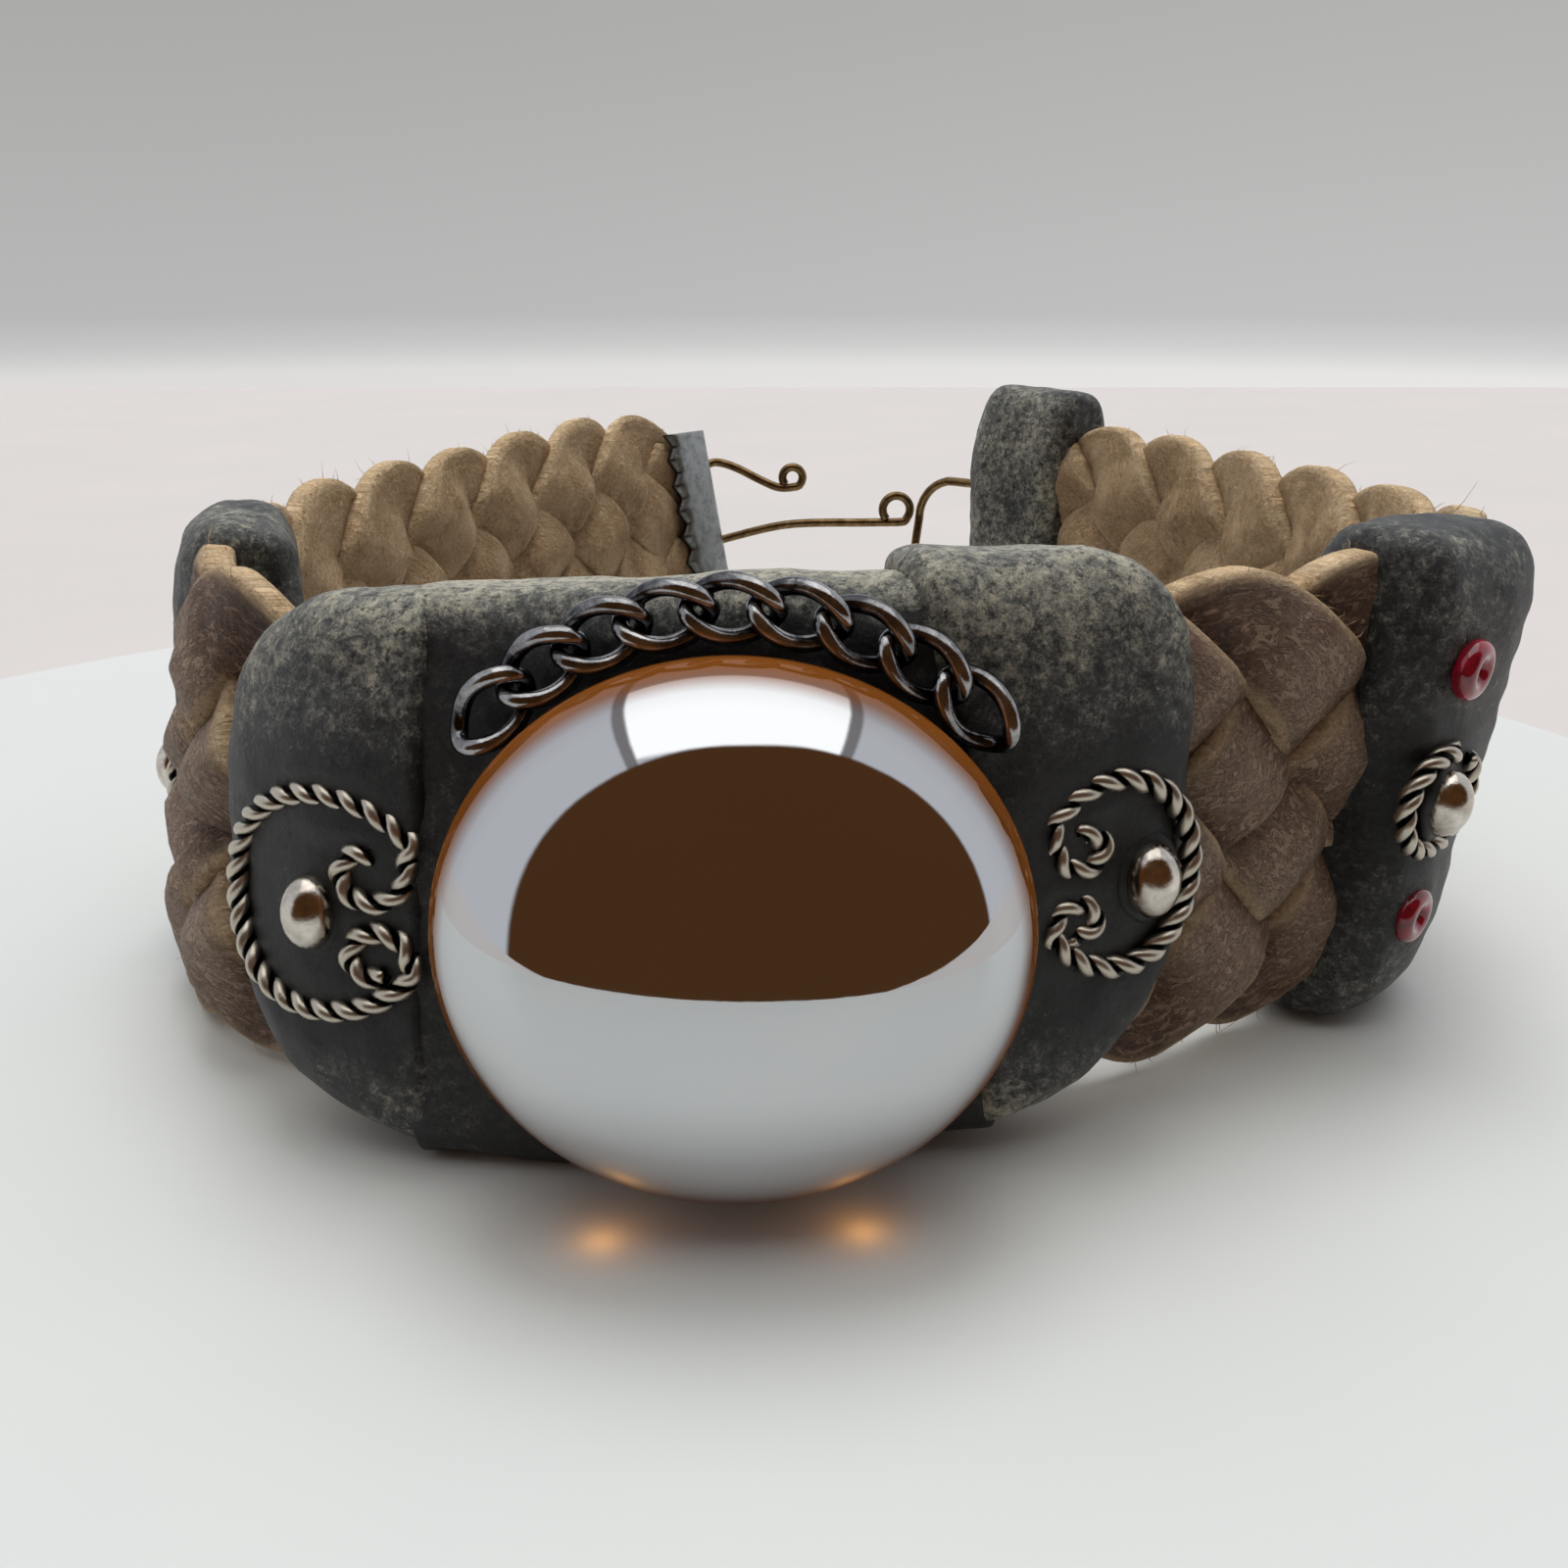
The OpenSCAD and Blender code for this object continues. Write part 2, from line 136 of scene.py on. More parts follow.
def plan(side, s):
    """x, y and heading at distance s along a side of the band."""
    rows = STARTS[side]
    i = np.clip(np.searchsorted(rows[:, 0], s, "right") - 1, 0, len(rows) - 1)
    s0, x, y, h, k = (rows[i, c] for c in range(5))
    turned = h + k * (s - s0)
    return x + (np.sin(turned) - np.sin(h)) / k, y + (np.cos(h) - np.cos(turned)) / k, turned


def lookup(s, pairs):
    return np.interp(s, [p[0] for p in pairs], [p[1] for p in pairs])


def outward(side, s):
    h, a = plan(side, s)[2], np.radians(lookup(s, LEAN[side]))
    return np.stack([side * np.sin(h) * np.cos(a), -side * np.cos(h) * np.cos(a), -np.sin(a)], -1)


def upward(side, s):
    h, a = plan(side, s)[2], np.radians(lookup(s, LEAN[side]))
    return np.stack([side * np.sin(h) * np.sin(a), -side * np.cos(h) * np.sin(a), np.cos(a)], -1)


def spot(side, s, t, w):
    """The point at distance s along the band, t outside its middle and w up its face."""
    s, t, w = np.broadcast_arrays(*(np.asarray(v, float) for v in (s, t, w)))
    x, y, _ = plan(side, s)
    base = np.stack([x, y, lookup(s, RISE[side])], -1)
    return base + t[..., None] * outward(side, s) + w[..., None] * upward(side, s)


def run_of(side, s):
    """The band's own direction at distance s, away from the front middle."""
    h = plan(side, s)[2]
    return np.array([math.cos(h), math.sin(h), 0])


# ---------------------------------------------------------------- mesh tools


def smoothstep(x, low=0.0, high=1.0):
    u = np.clip((x - low) / (high - low), 0, 1)
    return u * u * (3 - 2 * u)


def power(x, e):
    return np.sign(x) * np.abs(x) ** e


def unit(v):
    return v / np.maximum(np.linalg.norm(v, axis=-1, keepdims=True), 1e-12)


def distances(path):
    """How far along a path each of its points is."""
    return np.concatenate([[0], np.cumsum(np.linalg.norm(np.diff(path, axis=0), axis=1))])


def lumps(points, size, seed, waves=16):
    """A smooth random field with features of about the given size; its mean square is 1."""
    rng = np.random.default_rng(seed)
    total = np.zeros(points.shape[:-1])
    for _ in range(waves):
        d = rng.normal(size=points.shape[-1])
        k = TAU / (size * rng.uniform(1.3, 3.0))
        total += np.sin(points @ (d / np.linalg.norm(d)) * k + rng.uniform(0, TAU))
    return total / math.sqrt(waves / 2)


def tube(rings, closed=False):
    """Skin over rings (m, n, 3), with its two ends capped or joined to each other."""
    m, n = rings.shape[:2]
    index = np.arange(m * n).reshape(m, n)
    after = np.roll(index, -1, 1)
    if closed:
        a, b, c, d = index, after, np.roll(after, -1, 0), np.roll(index, -1, 0)
        return rings.reshape(-1, 3), [np.stack([a, b, c, d], -1).reshape(-1, 4)]
    quads = np.stack([index[:-1], after[:-1], after[1:], index[1:]], -1).reshape(-1, 4)
    verts = np.concatenate([rings.reshape(-1, 3), rings[0].mean(0)[None], rings[-1].mean(0)[None]])
    first = np.stack([np.full(n, m * n), after[0], index[0]], -1)
    last = np.stack([np.full(n, m * n + 1), index[-1], after[-1]], -1)
    return verts, [quads, first, last]


def volume(verts, faces):
    total = 0
    for f in faces:
        for k in range(1, f.shape[1] - 1):
            a, b, c = verts[f[:, 0]], verts[f[:, k]], verts[f[:, k + 1]]
            total += np.einsum("ij,ij->i", a, np.cross(b, c)).sum()
    return total


class Shells:
    """Closed shells that become one mesh, with named values at their points."""

    def __init__(self):
        self.verts, self.faces, self.values, self.count = [], [], [], 0

    def add(self, verts, faces, **values):
        verts = np.asarray(verts, float)
        if volume(verts - verts.mean(0), faces) < 0:
            faces = [f[:, ::-1] for f in faces]
        self.faces += [f + self.count for f in faces]
        self.verts.append(verts)
        self.values.append(values)
        self.count += len(verts)

    def skin(self, rings, closed=False, **values):
        """Adds the skin over rings. A value is given per ring point, or once for all of them."""
        for key, value in values.items():
            value = np.broadcast_to(np.asarray(value, float), rings.shape[:2])
            caps = [] if closed else [value[0].mean(), value[-1].mean()]
            values[key] = np.concatenate([value.reshape(-1), caps])
        self.add(*tube(rings, closed), **values)
        return self

    def build(self, name, material, slot, body=None, nodes=(), blend=None):
        verts = np.concatenate(self.verts)
        mesh = bpy.data.meshes.new(name)
        mesh.from_pydata((verts * MM).tolist(), [], [f for part in self.faces for f in part.tolist()])
        mesh.polygons.foreach_set("use_smooth", np.ones(len(mesh.polygons), bool))
        rest = mesh.attributes.new("rest", "FLOAT_VECTOR", "POINT")
        rest.data.foreach_set("vector", verts.astype(np.float32).ravel())
        for key in sorted({k for v in self.values for k in v}):
            parts = zip(self.values, self.verts)
            column = np.concatenate([np.broadcast_to(v.get(key, 0.0), len(p)) for v, p in parts])
            made = mesh.attributes.new(key, "FLOAT", "POINT")
            made.data.foreach_set("value", column.astype(np.float32))
        mesh.materials.append(material)
        obj = bpy.data.objects.new(name, mesh)
        bpy.context.scene.collection.objects.link(obj)
        if body:
            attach(obj, body)
        if blend:
            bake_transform(obj)
        if nodes:
            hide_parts(*nodes)


def displace(rings, amount, closed=False):
    """Rings moved along the skin's normal, outwards where amount is positive."""
    if closed:
        du = np.roll(rings, -1, 0) - np.roll(rings, 1, 0)
    else:
        du = np.gradient(rings, axis=0)
    dv = np.roll(rings, -1, 1) - np.roll(rings, 1, 1)
    normal = unit(np.cross(du, dv))
    if np.einsum("ijk,ijk->ij", normal, rings - rings.mean(1, keepdims=True)).mean() < 0:
        normal = -normal
    return rings + normal * amount[..., None]


def smooth_path(points, step):
    """A Catmull-Rom curve through points, with samples about one step apart."""
    p = np.asarray(points, float)
    ext = np.concatenate([[2 * p[0] - p[1]], p, [2 * p[-1] - p[-2]]])
    u = np.linspace(0, 1, 12, endpoint=False)[:, None]
    dense = [
        0.5 * (2 * b + (c - a) * u + (2 * a - 5 * b + 4 * c - d) * u**2 + (3 * b - a - 3 * c + d) * u**3)
        for a, b, c, d in zip(ext, ext[1:], ext[2:], ext[3:])
    ]
    dense = np.concatenate(dense + [p[-1:]])
    far = distances(dense)
    at = np.linspace(0, far[-1], max(4, int(far[-1] / step)))
    return np.stack([np.interp(at, far, dense[:, k]) for k in range(dense.shape[1])], -1)


def frames(path, facing):
    """Two directions across a path at each point, the first of them square to facing."""
    run = unit(np.gradient(path, axis=0))
    u = unit(np.cross(run, facing))
    return u, np.cross(run, u)


def hoops(path, u, v, radius, sides):
    """A ring of points round each point of a path, in the plane of u and v."""
    a = (TAU * np.arange(sides) / sides)[:, None]
    return path[:, None] + radius * (np.cos(a) * u[:, None] + np.sin(a) * v[:, None])


def turned_ring(section, count, wide=1.0, tall=1.0):
    """A closed section of (radius, height) points turned about Z, with its own scale in X and in Y."""
    a = (TAU * np.arange(count) / count)[:, None]
    height = np.broadcast_to(section[:, 1], (count, len(section)))
    return np.stack([wide * section[:, 0] * np.cos(a), tall * section[:, 0] * np.sin(a), height], -1)


def revolve(profile, count, place, squash=1.0):
    """A profile of (radius, height) points turned about Z, then sent through place()."""
    a = TAU * np.arange(count) / count
    profile = np.asarray(profile, float)
    x = profile[:, 0, None] * np.cos(a)
    y = profile[:, 0, None] * np.sin(a) * squash
    z = np.broadcast_to(profile[:, 1, None], x.shape)
    return place(np.stack([x, y, z], -1))


# ---------------------------------------------------------------- materials


def linear(colour):
    """A colour in linear light, from 0 to 255 steps of red, green and blue, a grey, or as it is."""
    def one(c):
        c /= 255
        return c / 12.92 if c <= 0.04045 else ((c + 0.055) / 1.055) ** 2.4
    if isinstance(colour, float):
        return (colour, colour, colour, 1)
    return colour if len(colour) == 4 else (*map(one, colour), 1)


class Graph:
    """Short calls that add nodes to one node tree."""

    def __init__(self, tree):
        self.tree = tree

    def add(self, kind, inputs=None, **settings):
        node = self.tree.nodes.new(kind)
        for key, value in settings.items():
            setattr(node, key, value)
        for key, value in (inputs or {}).items():
            self.set(node.inputs[key], value)
        return node

    def set(self, socket, value):
        if isinstance(value, bpy.types.NodeSocket):
            self.tree.links.new(value, socket)
        else:
            socket.default_value = value

    def value(self, name):
        return self.add("ShaderNodeAttribute", attribute_name=name).outputs["Fac"]

    def rest(self):
        """The point's place at rest, in millimetres, so that a pattern stays on its piece."""
        return self.add("ShaderNodeAttribute", attribute_name="rest").outputs["Vector"]

    def scaled(self, vector, scale):
        return self.add("ShaderNodeMapping", {"Vector": vector, "Scale": scale}).outputs[0]

    def noise(self, vector, scale, detail=4, rough=0.55, warp=0.0):
        return self.add("ShaderNodeTexNoise", {
            "Vector": vector, "Scale": scale, "Detail": detail, "Roughness": rough, "Distortion": warp,
        }).outputs["Fac"]

    def cells(self, vector, scale):
        return self.add("ShaderNodeTexVoronoi", {"Vector": vector, "Scale": scale}).outputs["Distance"]

    def ramp(self, factor, stops):
        node = self.add("ShaderNodeValToRGB", {"Fac": factor})
        ends = node.color_ramp.elements
        while len(ends) < len(stops):
            ends.new(0.5)
        for element, (at, colour) in zip(ends, stops):
            element.position = at
            element.color = linear(colour)
        return node.outputs["Color"]

    def mix(self, factor, a, b, how="MIX"):
        node = self.add("ShaderNodeMix", data_type="RGBA", blend_type=how)
        for socket, value in zip((node.inputs[0], node.inputs[6], node.inputs[7]), (factor, a, b)):
            self.set(socket, value)
        return node.outputs[2]

    def math(self, how, a, b=0.0):
        return self.add("ShaderNodeMath", {0: a, 1: b}, operation=how).outputs[0]

    def times(self, a, b):
        return self.math("MULTIPLY", a, b)

    def sum(self, *terms):
        """Adds (value, weight) pairs."""
        total = 0.0
        for value, weight in terms:
            node = self.add("ShaderNodeMath", {0: value, 1: weight, 2: total}, operation="MULTIPLY_ADD")
            total = node.outputs[0]
        return total

    def bump(self, height, distance, strength=1.0, normal=None):
        """distance is in millimetres."""
        inputs = {"Height": height, "Distance": distance * MM, "Strength": strength}
        if normal is not None:
            inputs["Normal"] = normal
        return self.add("ShaderNodeBump", inputs).outputs[0]


def new_material(name):
    material = bpy.data.materials.new(name)
    material.use_nodes = True
    material.node_tree.nodes.clear()
    g = Graph(material.node_tree)
    shader = g.add("ShaderNodeBsdfPrincipled")
    out = g.add("ShaderNodeOutputMaterial")
    material.node_tree.links.new(shader.outputs[0], out.inputs[0])
    return material, g, shader.inputs, g.rest()


def clay_material():
    """Dark grey clay with a rubbed beige patina. The piece's light value makes it paler, and its shade
    value is painted shade that darkens it round the trim and in recesses.
    """
    material, g, shader, rest = new_material("clay")
    patch = g.noise(rest, 0.24, 4, 0.6, 0.4)
    speck = g.noise(rest, 1.7, 7, 0.8, 0.2)
    grain = g.noise(rest, 9.0, 3, 0.6)
    # Painted shade: the shade value darkens the tone.
    tone = g.sum(
        (patch, 0.60), (speck, 1.30), (grain, 0.35),
        (g.value("light"), 0.34), (g.value("shade"), -0.40), (1.0, -0.745),
    )
    colour = g.ramp(tone, [
        (0.22, (22, 23, 24)), (0.38, (46, 47, 47)), (0.50, (80, 81, 78)),
        (0.62, (128, 127, 116)), (0.80, (182, 177, 158)),
    ])
    pits = g.ramp(g.noise(rest, 2.6, 5, 0.75), [(0.40, (62, 62, 64)), (0.47, 1.0)])
    g.set(shader["Base Color"], g.mix(0.8, colour, pits, "MULTIPLY"))
    g.set(shader["Roughness"], g.sum((speck, 0.25), (tone, 0.18), (1.0, 0.30)))
    g.set(shader["Specular IOR Level"], 0.42)
    fine = g.bump(g.noise(rest, 5.0, 5, 0.65), 0.06, 0.5)
    g.set(shader["Normal"], g.bump(speck, 0.16, 0.5, fine))
    return material


def leather_material():
    """Braided strands: brown grain outside, tan suede inside and along the cut edges, with painted shade in
    the creases and where a strand goes under another.
    """
    material, g, shader, rest = new_material("leather")
    across, along, number = g.value("across"), g.value("along"), g.value("number")
    weave = g.add("ShaderNodeCombineXYZ", {0: across, 1: along, 2: number}).outputs[0]
    streaks = g.noise(g.scaled(weave, (1.0, 0.28, 1.0)), 3.2, 4, 0.6, 0.3)
    patch = g.noise(rest, 0.32, 4, 0.6, 0.3)
    wrinkles = g.noise(g.scaled(weave, (1.0, 0.6, 1.0)), 2.6, 5, 0.7, 1.2)
    pores = g.cells(weave, 3.4)
    # Painted shade: the over value darkens a strand where it goes under another.
    hide_and_under_shade = g.sum(
        (patch, 0.6), (streaks, 0.3), (wrinkles, 1.15),
        (pores, 0.14), (g.value("over"), 0.30), (1.0, -0.60),
    )
    grain = g.ramp(hide_and_under_shade, [
        (0.22, (70, 47, 36)), (0.38, (124, 93, 74)),
        (0.55, (164, 132, 110)), (0.80, (200, 171, 147)),
    ])
    # Painted shade: thin dark lines along the wrinkles' creases.
    fold = g.math("ABSOLUTE", g.math("SUBTRACT", wrinkles, 0.5))
    crease_shade = g.ramp(fold, [(0.0, (96, 82, 74)), (0.05, 1.0)])
    grain = g.mix(0.9, grain, crease_shade, "MULTIPLY")
    nap = g.noise(rest, 4.5, 6, 0.75, 0.6)
    inner = g.ramp(g.sum((patch, 0.55), (nap, 0.55), (1.0, -0.05)), [
        (0.30, (128, 98, 68)), (0.47, (198, 164, 124)), (0.68, (238, 208, 168)),
    ])
    cut = g.ramp(g.sum((nap, 0.7), (streaks, 0.3)), [
        (0.32, (160, 126, 88)), (0.46, (218, 186, 144)), (0.62, (250, 226, 188)),
    ])
    colour = g.mix(g.value("grain"), inner, grain)
    g.set(shader["Base Color"], g.mix(g.value("cut"), colour, cut))
    rough = g.sum((g.value("grain"), -0.38), (g.value("cut"), 0.2), (streaks, 0.15), (1.0, 0.80))
    g.set(shader["Roughness"], rough)
    g.set(shader["Specular IOR Level"], 0.4)
    creases = g.bump(wrinkles, 0.9, 1.0)
    pebble = g.bump(pores, 0.14, 0.5, creases)
    g.set(shader["Normal"], g.bump(nap, 0.2, 0.7, pebble))
    return material


def metal_material(name, dark, light, rough, wear=0.0, scale=1.2):
    """Metal whose colour and gloss vary a little; crests are lighter where wear is given."""
    material, g, shader, rest = new_material(name)
    stain = g.noise(rest, scale, 5, 0.65, 0.3)
    tone = g.sum((stain, 0.9), (g.value("crest"), wear), (1.0, -wear * 0.5))
    g.set(shader["Base Color"], g.ramp(tone, [(0.32, dark), (0.66, light)]))
    g.set(shader["Roughness"], g.sum((stain, 0.16), (1.0, rough - 0.06)))
    g.set(shader["Metallic"], 1.0)
    g.set(shader["Normal"], g.bump(g.noise(rest, scale * 5, 4, 0.7), 0.02, 0.5))
    return material


def glass_material():
    """Amber glass under a bluish lustre coat."""
    material, g, shader, rest = new_material("amber_lustre")
    rim = g.value("rim")
    cloud = g.noise(rest, 0.16, 4, 0.6, 0.5)
    # Painted light: the body colour is darker in the thick middle and lighter amber towards the thin rim,
    # as light through the glass shows it.
    body = g.ramp(g.sum((rim, 0.8), (cloud, 0.35), (1.0, -0.1)), [
        (0.05, (50, 22, 7)), (0.45, (72, 34, 11)), (0.9, (128, 74, 27)),
    ])
    g.set(shader["Base Color"], body)
    flecks = g.ramp(g.cells(rest, 0.55), [(0.012, 0.5), (0.03, 0.0)])
    g.set(shader["Roughness"], g.sum((flecks, 0.5), (g.noise(rest, 0.8, 4), 0.03), (1.0, 0.015)))
    g.set(shader["IOR"], 4.2)
    g.set(shader["Specular Tint"], g.ramp(rim, [(0.35, (0.88, 0.94, 1.0, 1)), (0.8, (118, 72, 34))]))
    g.set(shader["Coat Weight"], g.sum((rim, -0.85), (1.0, 1.0)))
    g.set(shader["Coat IOR"], 3.6)
    g.set(shader["Coat Roughness"], 0.02)
    g.set(shader["Normal"], g.bump(g.noise(rest, 0.5, 3), 0.02, 0.25))
    return material


def bead_material():
    material, g, shader, rest = new_material("red_glass")
    swirl = g.noise(rest, 1.1, 4, 0.6, 0.6)
    g.set(shader["Base Color"], g.ramp(swirl, [(0.3, (96, 6, 22)), (0.7, (170, 18, 48))]))
    g.set(shader["Roughness"], g.sum((swirl, 0.12), (1.0, 0.06)))
    g.set(shader["Coat Weight"], 0.6)
    g.set(shader["Coat Roughness"], 0.05)
    g.set(shader["Normal"], g.bump(g.noise(rest, 2.0, 3), 0.03, 0.3))
    return material


CLAY = clay_material()
LEATHER = leather_material()
ROPE = metal_material("antique_rope", (20, 19, 18), (190, 182, 168), 0.32, wear=1.2)
CHAIN = metal_material("gunmetal", (62, 62, 66), (176, 175, 176), 0.11, wear=0.35, scale=0.9)
SILVER = metal_material("silver", (176, 168, 158), (226, 220, 210), 0.12)
STEEL = metal_material("crimp_steel", (92, 94, 94), (160, 162, 160), 0.36, wear=0.3)
BRONZE = metal_material("bronze", (96, 76, 50), (158, 130, 92), 0.30)
GLASS = glass_material()
BEAD = bead_material()

# ---------------------------------------------------------------- the braid

STRANDS = 5
PERIOD = 36.0
STRAND_WIDTH = 6.1
STRAND_THICK = 2.1
SWING = (STRAP_HEIGHT - STRAND_WIDTH) / 2
# How far a strand rises where it lies over another
OVER = 1.3
# How pointed the turns at the strap's edges are: 0 for a sine, towards 1 for a zigzag
CORNER = 0.9
# How far a strand's cut edges curl down onto the one below
CROWN = 0.5
# A strand bends no tighter than this on its inner side
TIGHTEST = 0.8
SECTION_POINTS = 26
BRAID_STEP = 0.3
BRAID_PHASE = {RIGHT: 0.05, LEFT: 0.12}
# Each side's strands as two lengths that meet inside the rear sleeve
STRAND_SPANS = {RIGHT: ((12.5, 34.5), (34.5, 89.6)), LEFT: ((15.3, 42.5), (42.5, 97))}
BULGE = 1.7
CRIMP_PRESS = 0.46
TABLE_CLEAR = 0.02
FIBRE_RADIUS = 0.024


def weave_level(v):
    """1 where a strand lies over another and -1 where it lies under: over one, under one."""
    knots = np.array([0, 1, -1, 1, -1, 0, 1, -1, 1, -1, 0.0])
    place = (v % 1) * (len(knots) - 1)
    i = np.minimum(place.astype(int), len(knots) - 2)
    u = place - i
    return knots[i] + (knots[i + 1] - knots[i]) * u * u * (3 - 2 * u)


def braid_line(side, number, s):
    """A strand's middle, up the face from the band's middle, and its weave level."""
    v = s / PERIOD + number / STRANDS + BRAID_PHASE[side]
    up = SWING * np.arcsin(CORNER * np.sin(TAU * (v - 0.25))) / math.asin(CORNER)
    return up, weave_level(v)


def press(side, s):
    """Share of the strap's thickness, which the crimp presses thinner at the left end."""
    return np.ones_like(s) if side > 0 else 1 - CRIMP_PRESS * smoothstep(s, 88, 95)


def bulge(side, s):
    """The left strap stands out between its two sleeves."""
    return 0 * s if side > 0 else BULGE * smoothstep(s, 24, 28) * (1 - smoothstep(s, 34, 40))


def squeeze(side, s):
    """Share of the strap's height. The left strap narrows into its front sleeve and its crimp."""
    if side > 0:
        return np.ones_like(s)
    return 1 - (0.1 * smoothstep(s, 90, 96) + 0.1 * (1 - smoothstep(s, 23, 27)))


def strand_rings(side, number, start, end):
    """One strand's rings, its values at their points, and its section's shape."""
    s = np.arange(start, end + BRAID_STEP, BRAID_STEP)
    up, level = braid_line(side, number, s)
    narrow = squeeze(side, s)
    up = up * narrow
    angle = np.arctan(np.gradient(up, s))
    run = np.concatenate([[0], np.cumsum(np.hypot(np.diff(s), np.diff(up)))])
    bend = np.gradient(angle, run)
    phi = TAU * (np.arange(SECTION_POINTS) + 0.5) / SECTION_POINTS
    c, d = power(np.cos(phi), 0.45), power(np.sin(phi), 0.42)
    line = np.stack([run, np.full_like(run, 31.0 * number + 7 * side)], -1)
    width = STRAND_WIDTH * narrow * (1 + 0.05 * lumps(line, 5, 11))
    a = width[:, None] / 2 * c
    room = TIGHTEST / np.maximum(np.abs(bend), 1e-3)[:, None]
    a = np.where(a * bend[:, None] > 0, room * np.tanh(a / room), a)
    share = press(side, s)[:, None]
    flat = np.stack(np.broadcast_arrays(run[:, None], a, np.full_like(a, 9.0 * number)), -1)
    wrinkle = 0.07 * lumps(flat * [0.5, 1.0, 1.0], 0.7, 21, 24) + 0.10 * lumps(flat, 2.2, 22)
    n = STRAND_THICK / 2 * d + wrinkle * np.abs(d)
    n = n - CROWN * c**2 * level[:, None] * (1 - 0.35 * np.abs(d))
    t = ((OVER * level)[:, None] + n) * share + bulge(side, s)[:, None]
    w = STRAP_HEIGHT / 2 + up[:, None] + np.cos(angle)[:, None] * a
    rings = spot(side, s[:, None] - np.sin(angle)[:, None] * a, t, w)
    rings[..., 2] = np.maximum(rings[..., 2], TABLE_CLEAR)
    top = smoothstep(d, -0.1, 0.55)
    cut = smoothstep(np.abs(c), 0.78, 0.93) * (1 - 0.45 * smoothstep(d, 0.5, 1))
    tag = 13.0 * number + 3 * side
    # over is the weave level; the leather paints shade with it where a strand goes under.
    return rings, dict(across=a, along=run[:, None], number=tag, grain=top, cut=cut, over=level[:, None]), c


def fibres(shells, rings, section, seed):
    """Loose suede fibres along a strand's cut edges: three-sided, with three rings each."""
    rng = np.random.default_rng(seed)
    edge = np.where(np.abs(section) > 0.9)[0]
    count = int(len(rings) * BRAID_STEP * 1.4 * 2 * 1.6)
    i = rng.integers(1, len(rings) - 1, count)
    j = rng.choice(edge, count)
    base = rings[i, j]
    away = unit(base - rings[i].mean(1))
    along = unit(rings[i + 1, j] - rings[i - 1, j])
    loose = unit(away + 0.8 * along * rng.normal(size=(count, 1)) + 0.45 * rng.normal(size=(count, 3)))
    length = rng.uniform(0.25, 0.9, count) ** 1.3
    bend = 0.5 * rng.normal(size=(count, 3))
    u = np.array([0.0, 0.5, 1.0])
    path = base[:, None] + length[:, None, None] * (
        loose[:, None] * u[None, :, None] + bend[:, None] * u[None, :, None] ** 2)
    side = unit(np.cross(loose, [0.3, 0.5, 0.8]))
    other = np.cross(loose, side)
    radius = FIBRE_RADIUS * np.array([1.0, 0.8, 0.35])
    a = (TAU * np.arange(3) / 3)[:, None]
    ring = np.cos(a) * side[:, None, None] + np.sin(a) * other[:, None, None]
    points = path[:, :, None] + radius[:, None, None] * ring
    points[..., 2] = np.maximum(points[..., 2], TABLE_CLEAR)
    block = np.arange(9).reshape(3, 3)
    nxt = np.roll(block, -1, 1)
    quads = np.stack([block[:-1], nxt[:-1], nxt[1:], block[1:]], -1).reshape(-1, 4)
    caps = np.array([block[0][::-1], block[2]])
    shift = 9 * np.arange(count)
    faces = [(f[None] + shift[:, None, None]).reshape(-1, f.shape[1]) for f in (quads, caps)]
    shells.add(points.reshape(-1, 3), faces, cut=1.0, across=2.0)


def braid():
    """The strands of both sides, each length of them as one mesh that hides the strap parts it replaces."""
    for side, (front, back) in STRAND_SPANS.items():
        word = BODY[side]
        plans = (
            ("front", front, ("front",), "centre", word + "_side", FRONT_BEND[side]),
            ("back", back, ("side", "end"), word + "_side", word + "_end", BACK_BEND[side]),
        )
        for part, (start, end), places, body_a, body_b, bend in plans:
            nodes = tuple(f"{word}_strap_{place}" for place in places)
            for number in range(STRANDS):
                rings, values, section = strand_rings(side, number, start, end)
                shells = Shells().skin(rings, **values)
                seed = 100 * number + (10 if side > 0 else 20) + len(part)
                fibres(shells, rings, section, seed)
                ends = [spot(side, b, 0, STRAP_HEIGHT / 2) for b in bend]
                name = f"{word}_strand_{part}_{number + 1}"
                shells.build(name, LEATHER, "leather", nodes=nodes, blend=(body_a, body_b, *ends))


# ---------------------------------------------------------------- clay


def section_angles(half_t, half_w, e_t, e_w, count):
    """Angles of a pillow-shaped section at which its points lie evenly spaced."""
    a = np.linspace(0, TAU, 4001)
    outline = np.stack([half_t * power(np.cos(a), e_t), half_w * power(np.sin(a), e_w)], -1)
    far = distances(outline)
    return np.interp((np.arange(count) + 0.5) / count * far[-1], far, a)


def rounded_run(start, end, r_start, r_end, step=0.42, turn=9):
    """Distances from start to end, and at each the share, from 0 to 1, of the full section."""
    q = np.radians(np.linspace(0, 90, turn + 1))
    first = (start + r_start * (1 - np.cos(q)))[:-1]
    last = (end - r_end * (1 - np.cos(q)))[:-1][::-1]
    count = max(4, int((end - start - r_start - r_end) / step))
    middle = np.linspace(start + r_start, end - r_end, count)
    share = np.concatenate([np.sin(q)[:-1], np.ones(len(middle)), np.sin(q)[:-1][::-1]])
    return np.concatenate([first, middle, last]), share


CLAY_POINTS = 150
# A sleeve's rounded ends close to this half thickness, inside the strap, and lose this much height
CLAY_CORE = HALF_STRAP * 0.85
CLAY_SHRINK = 1.0


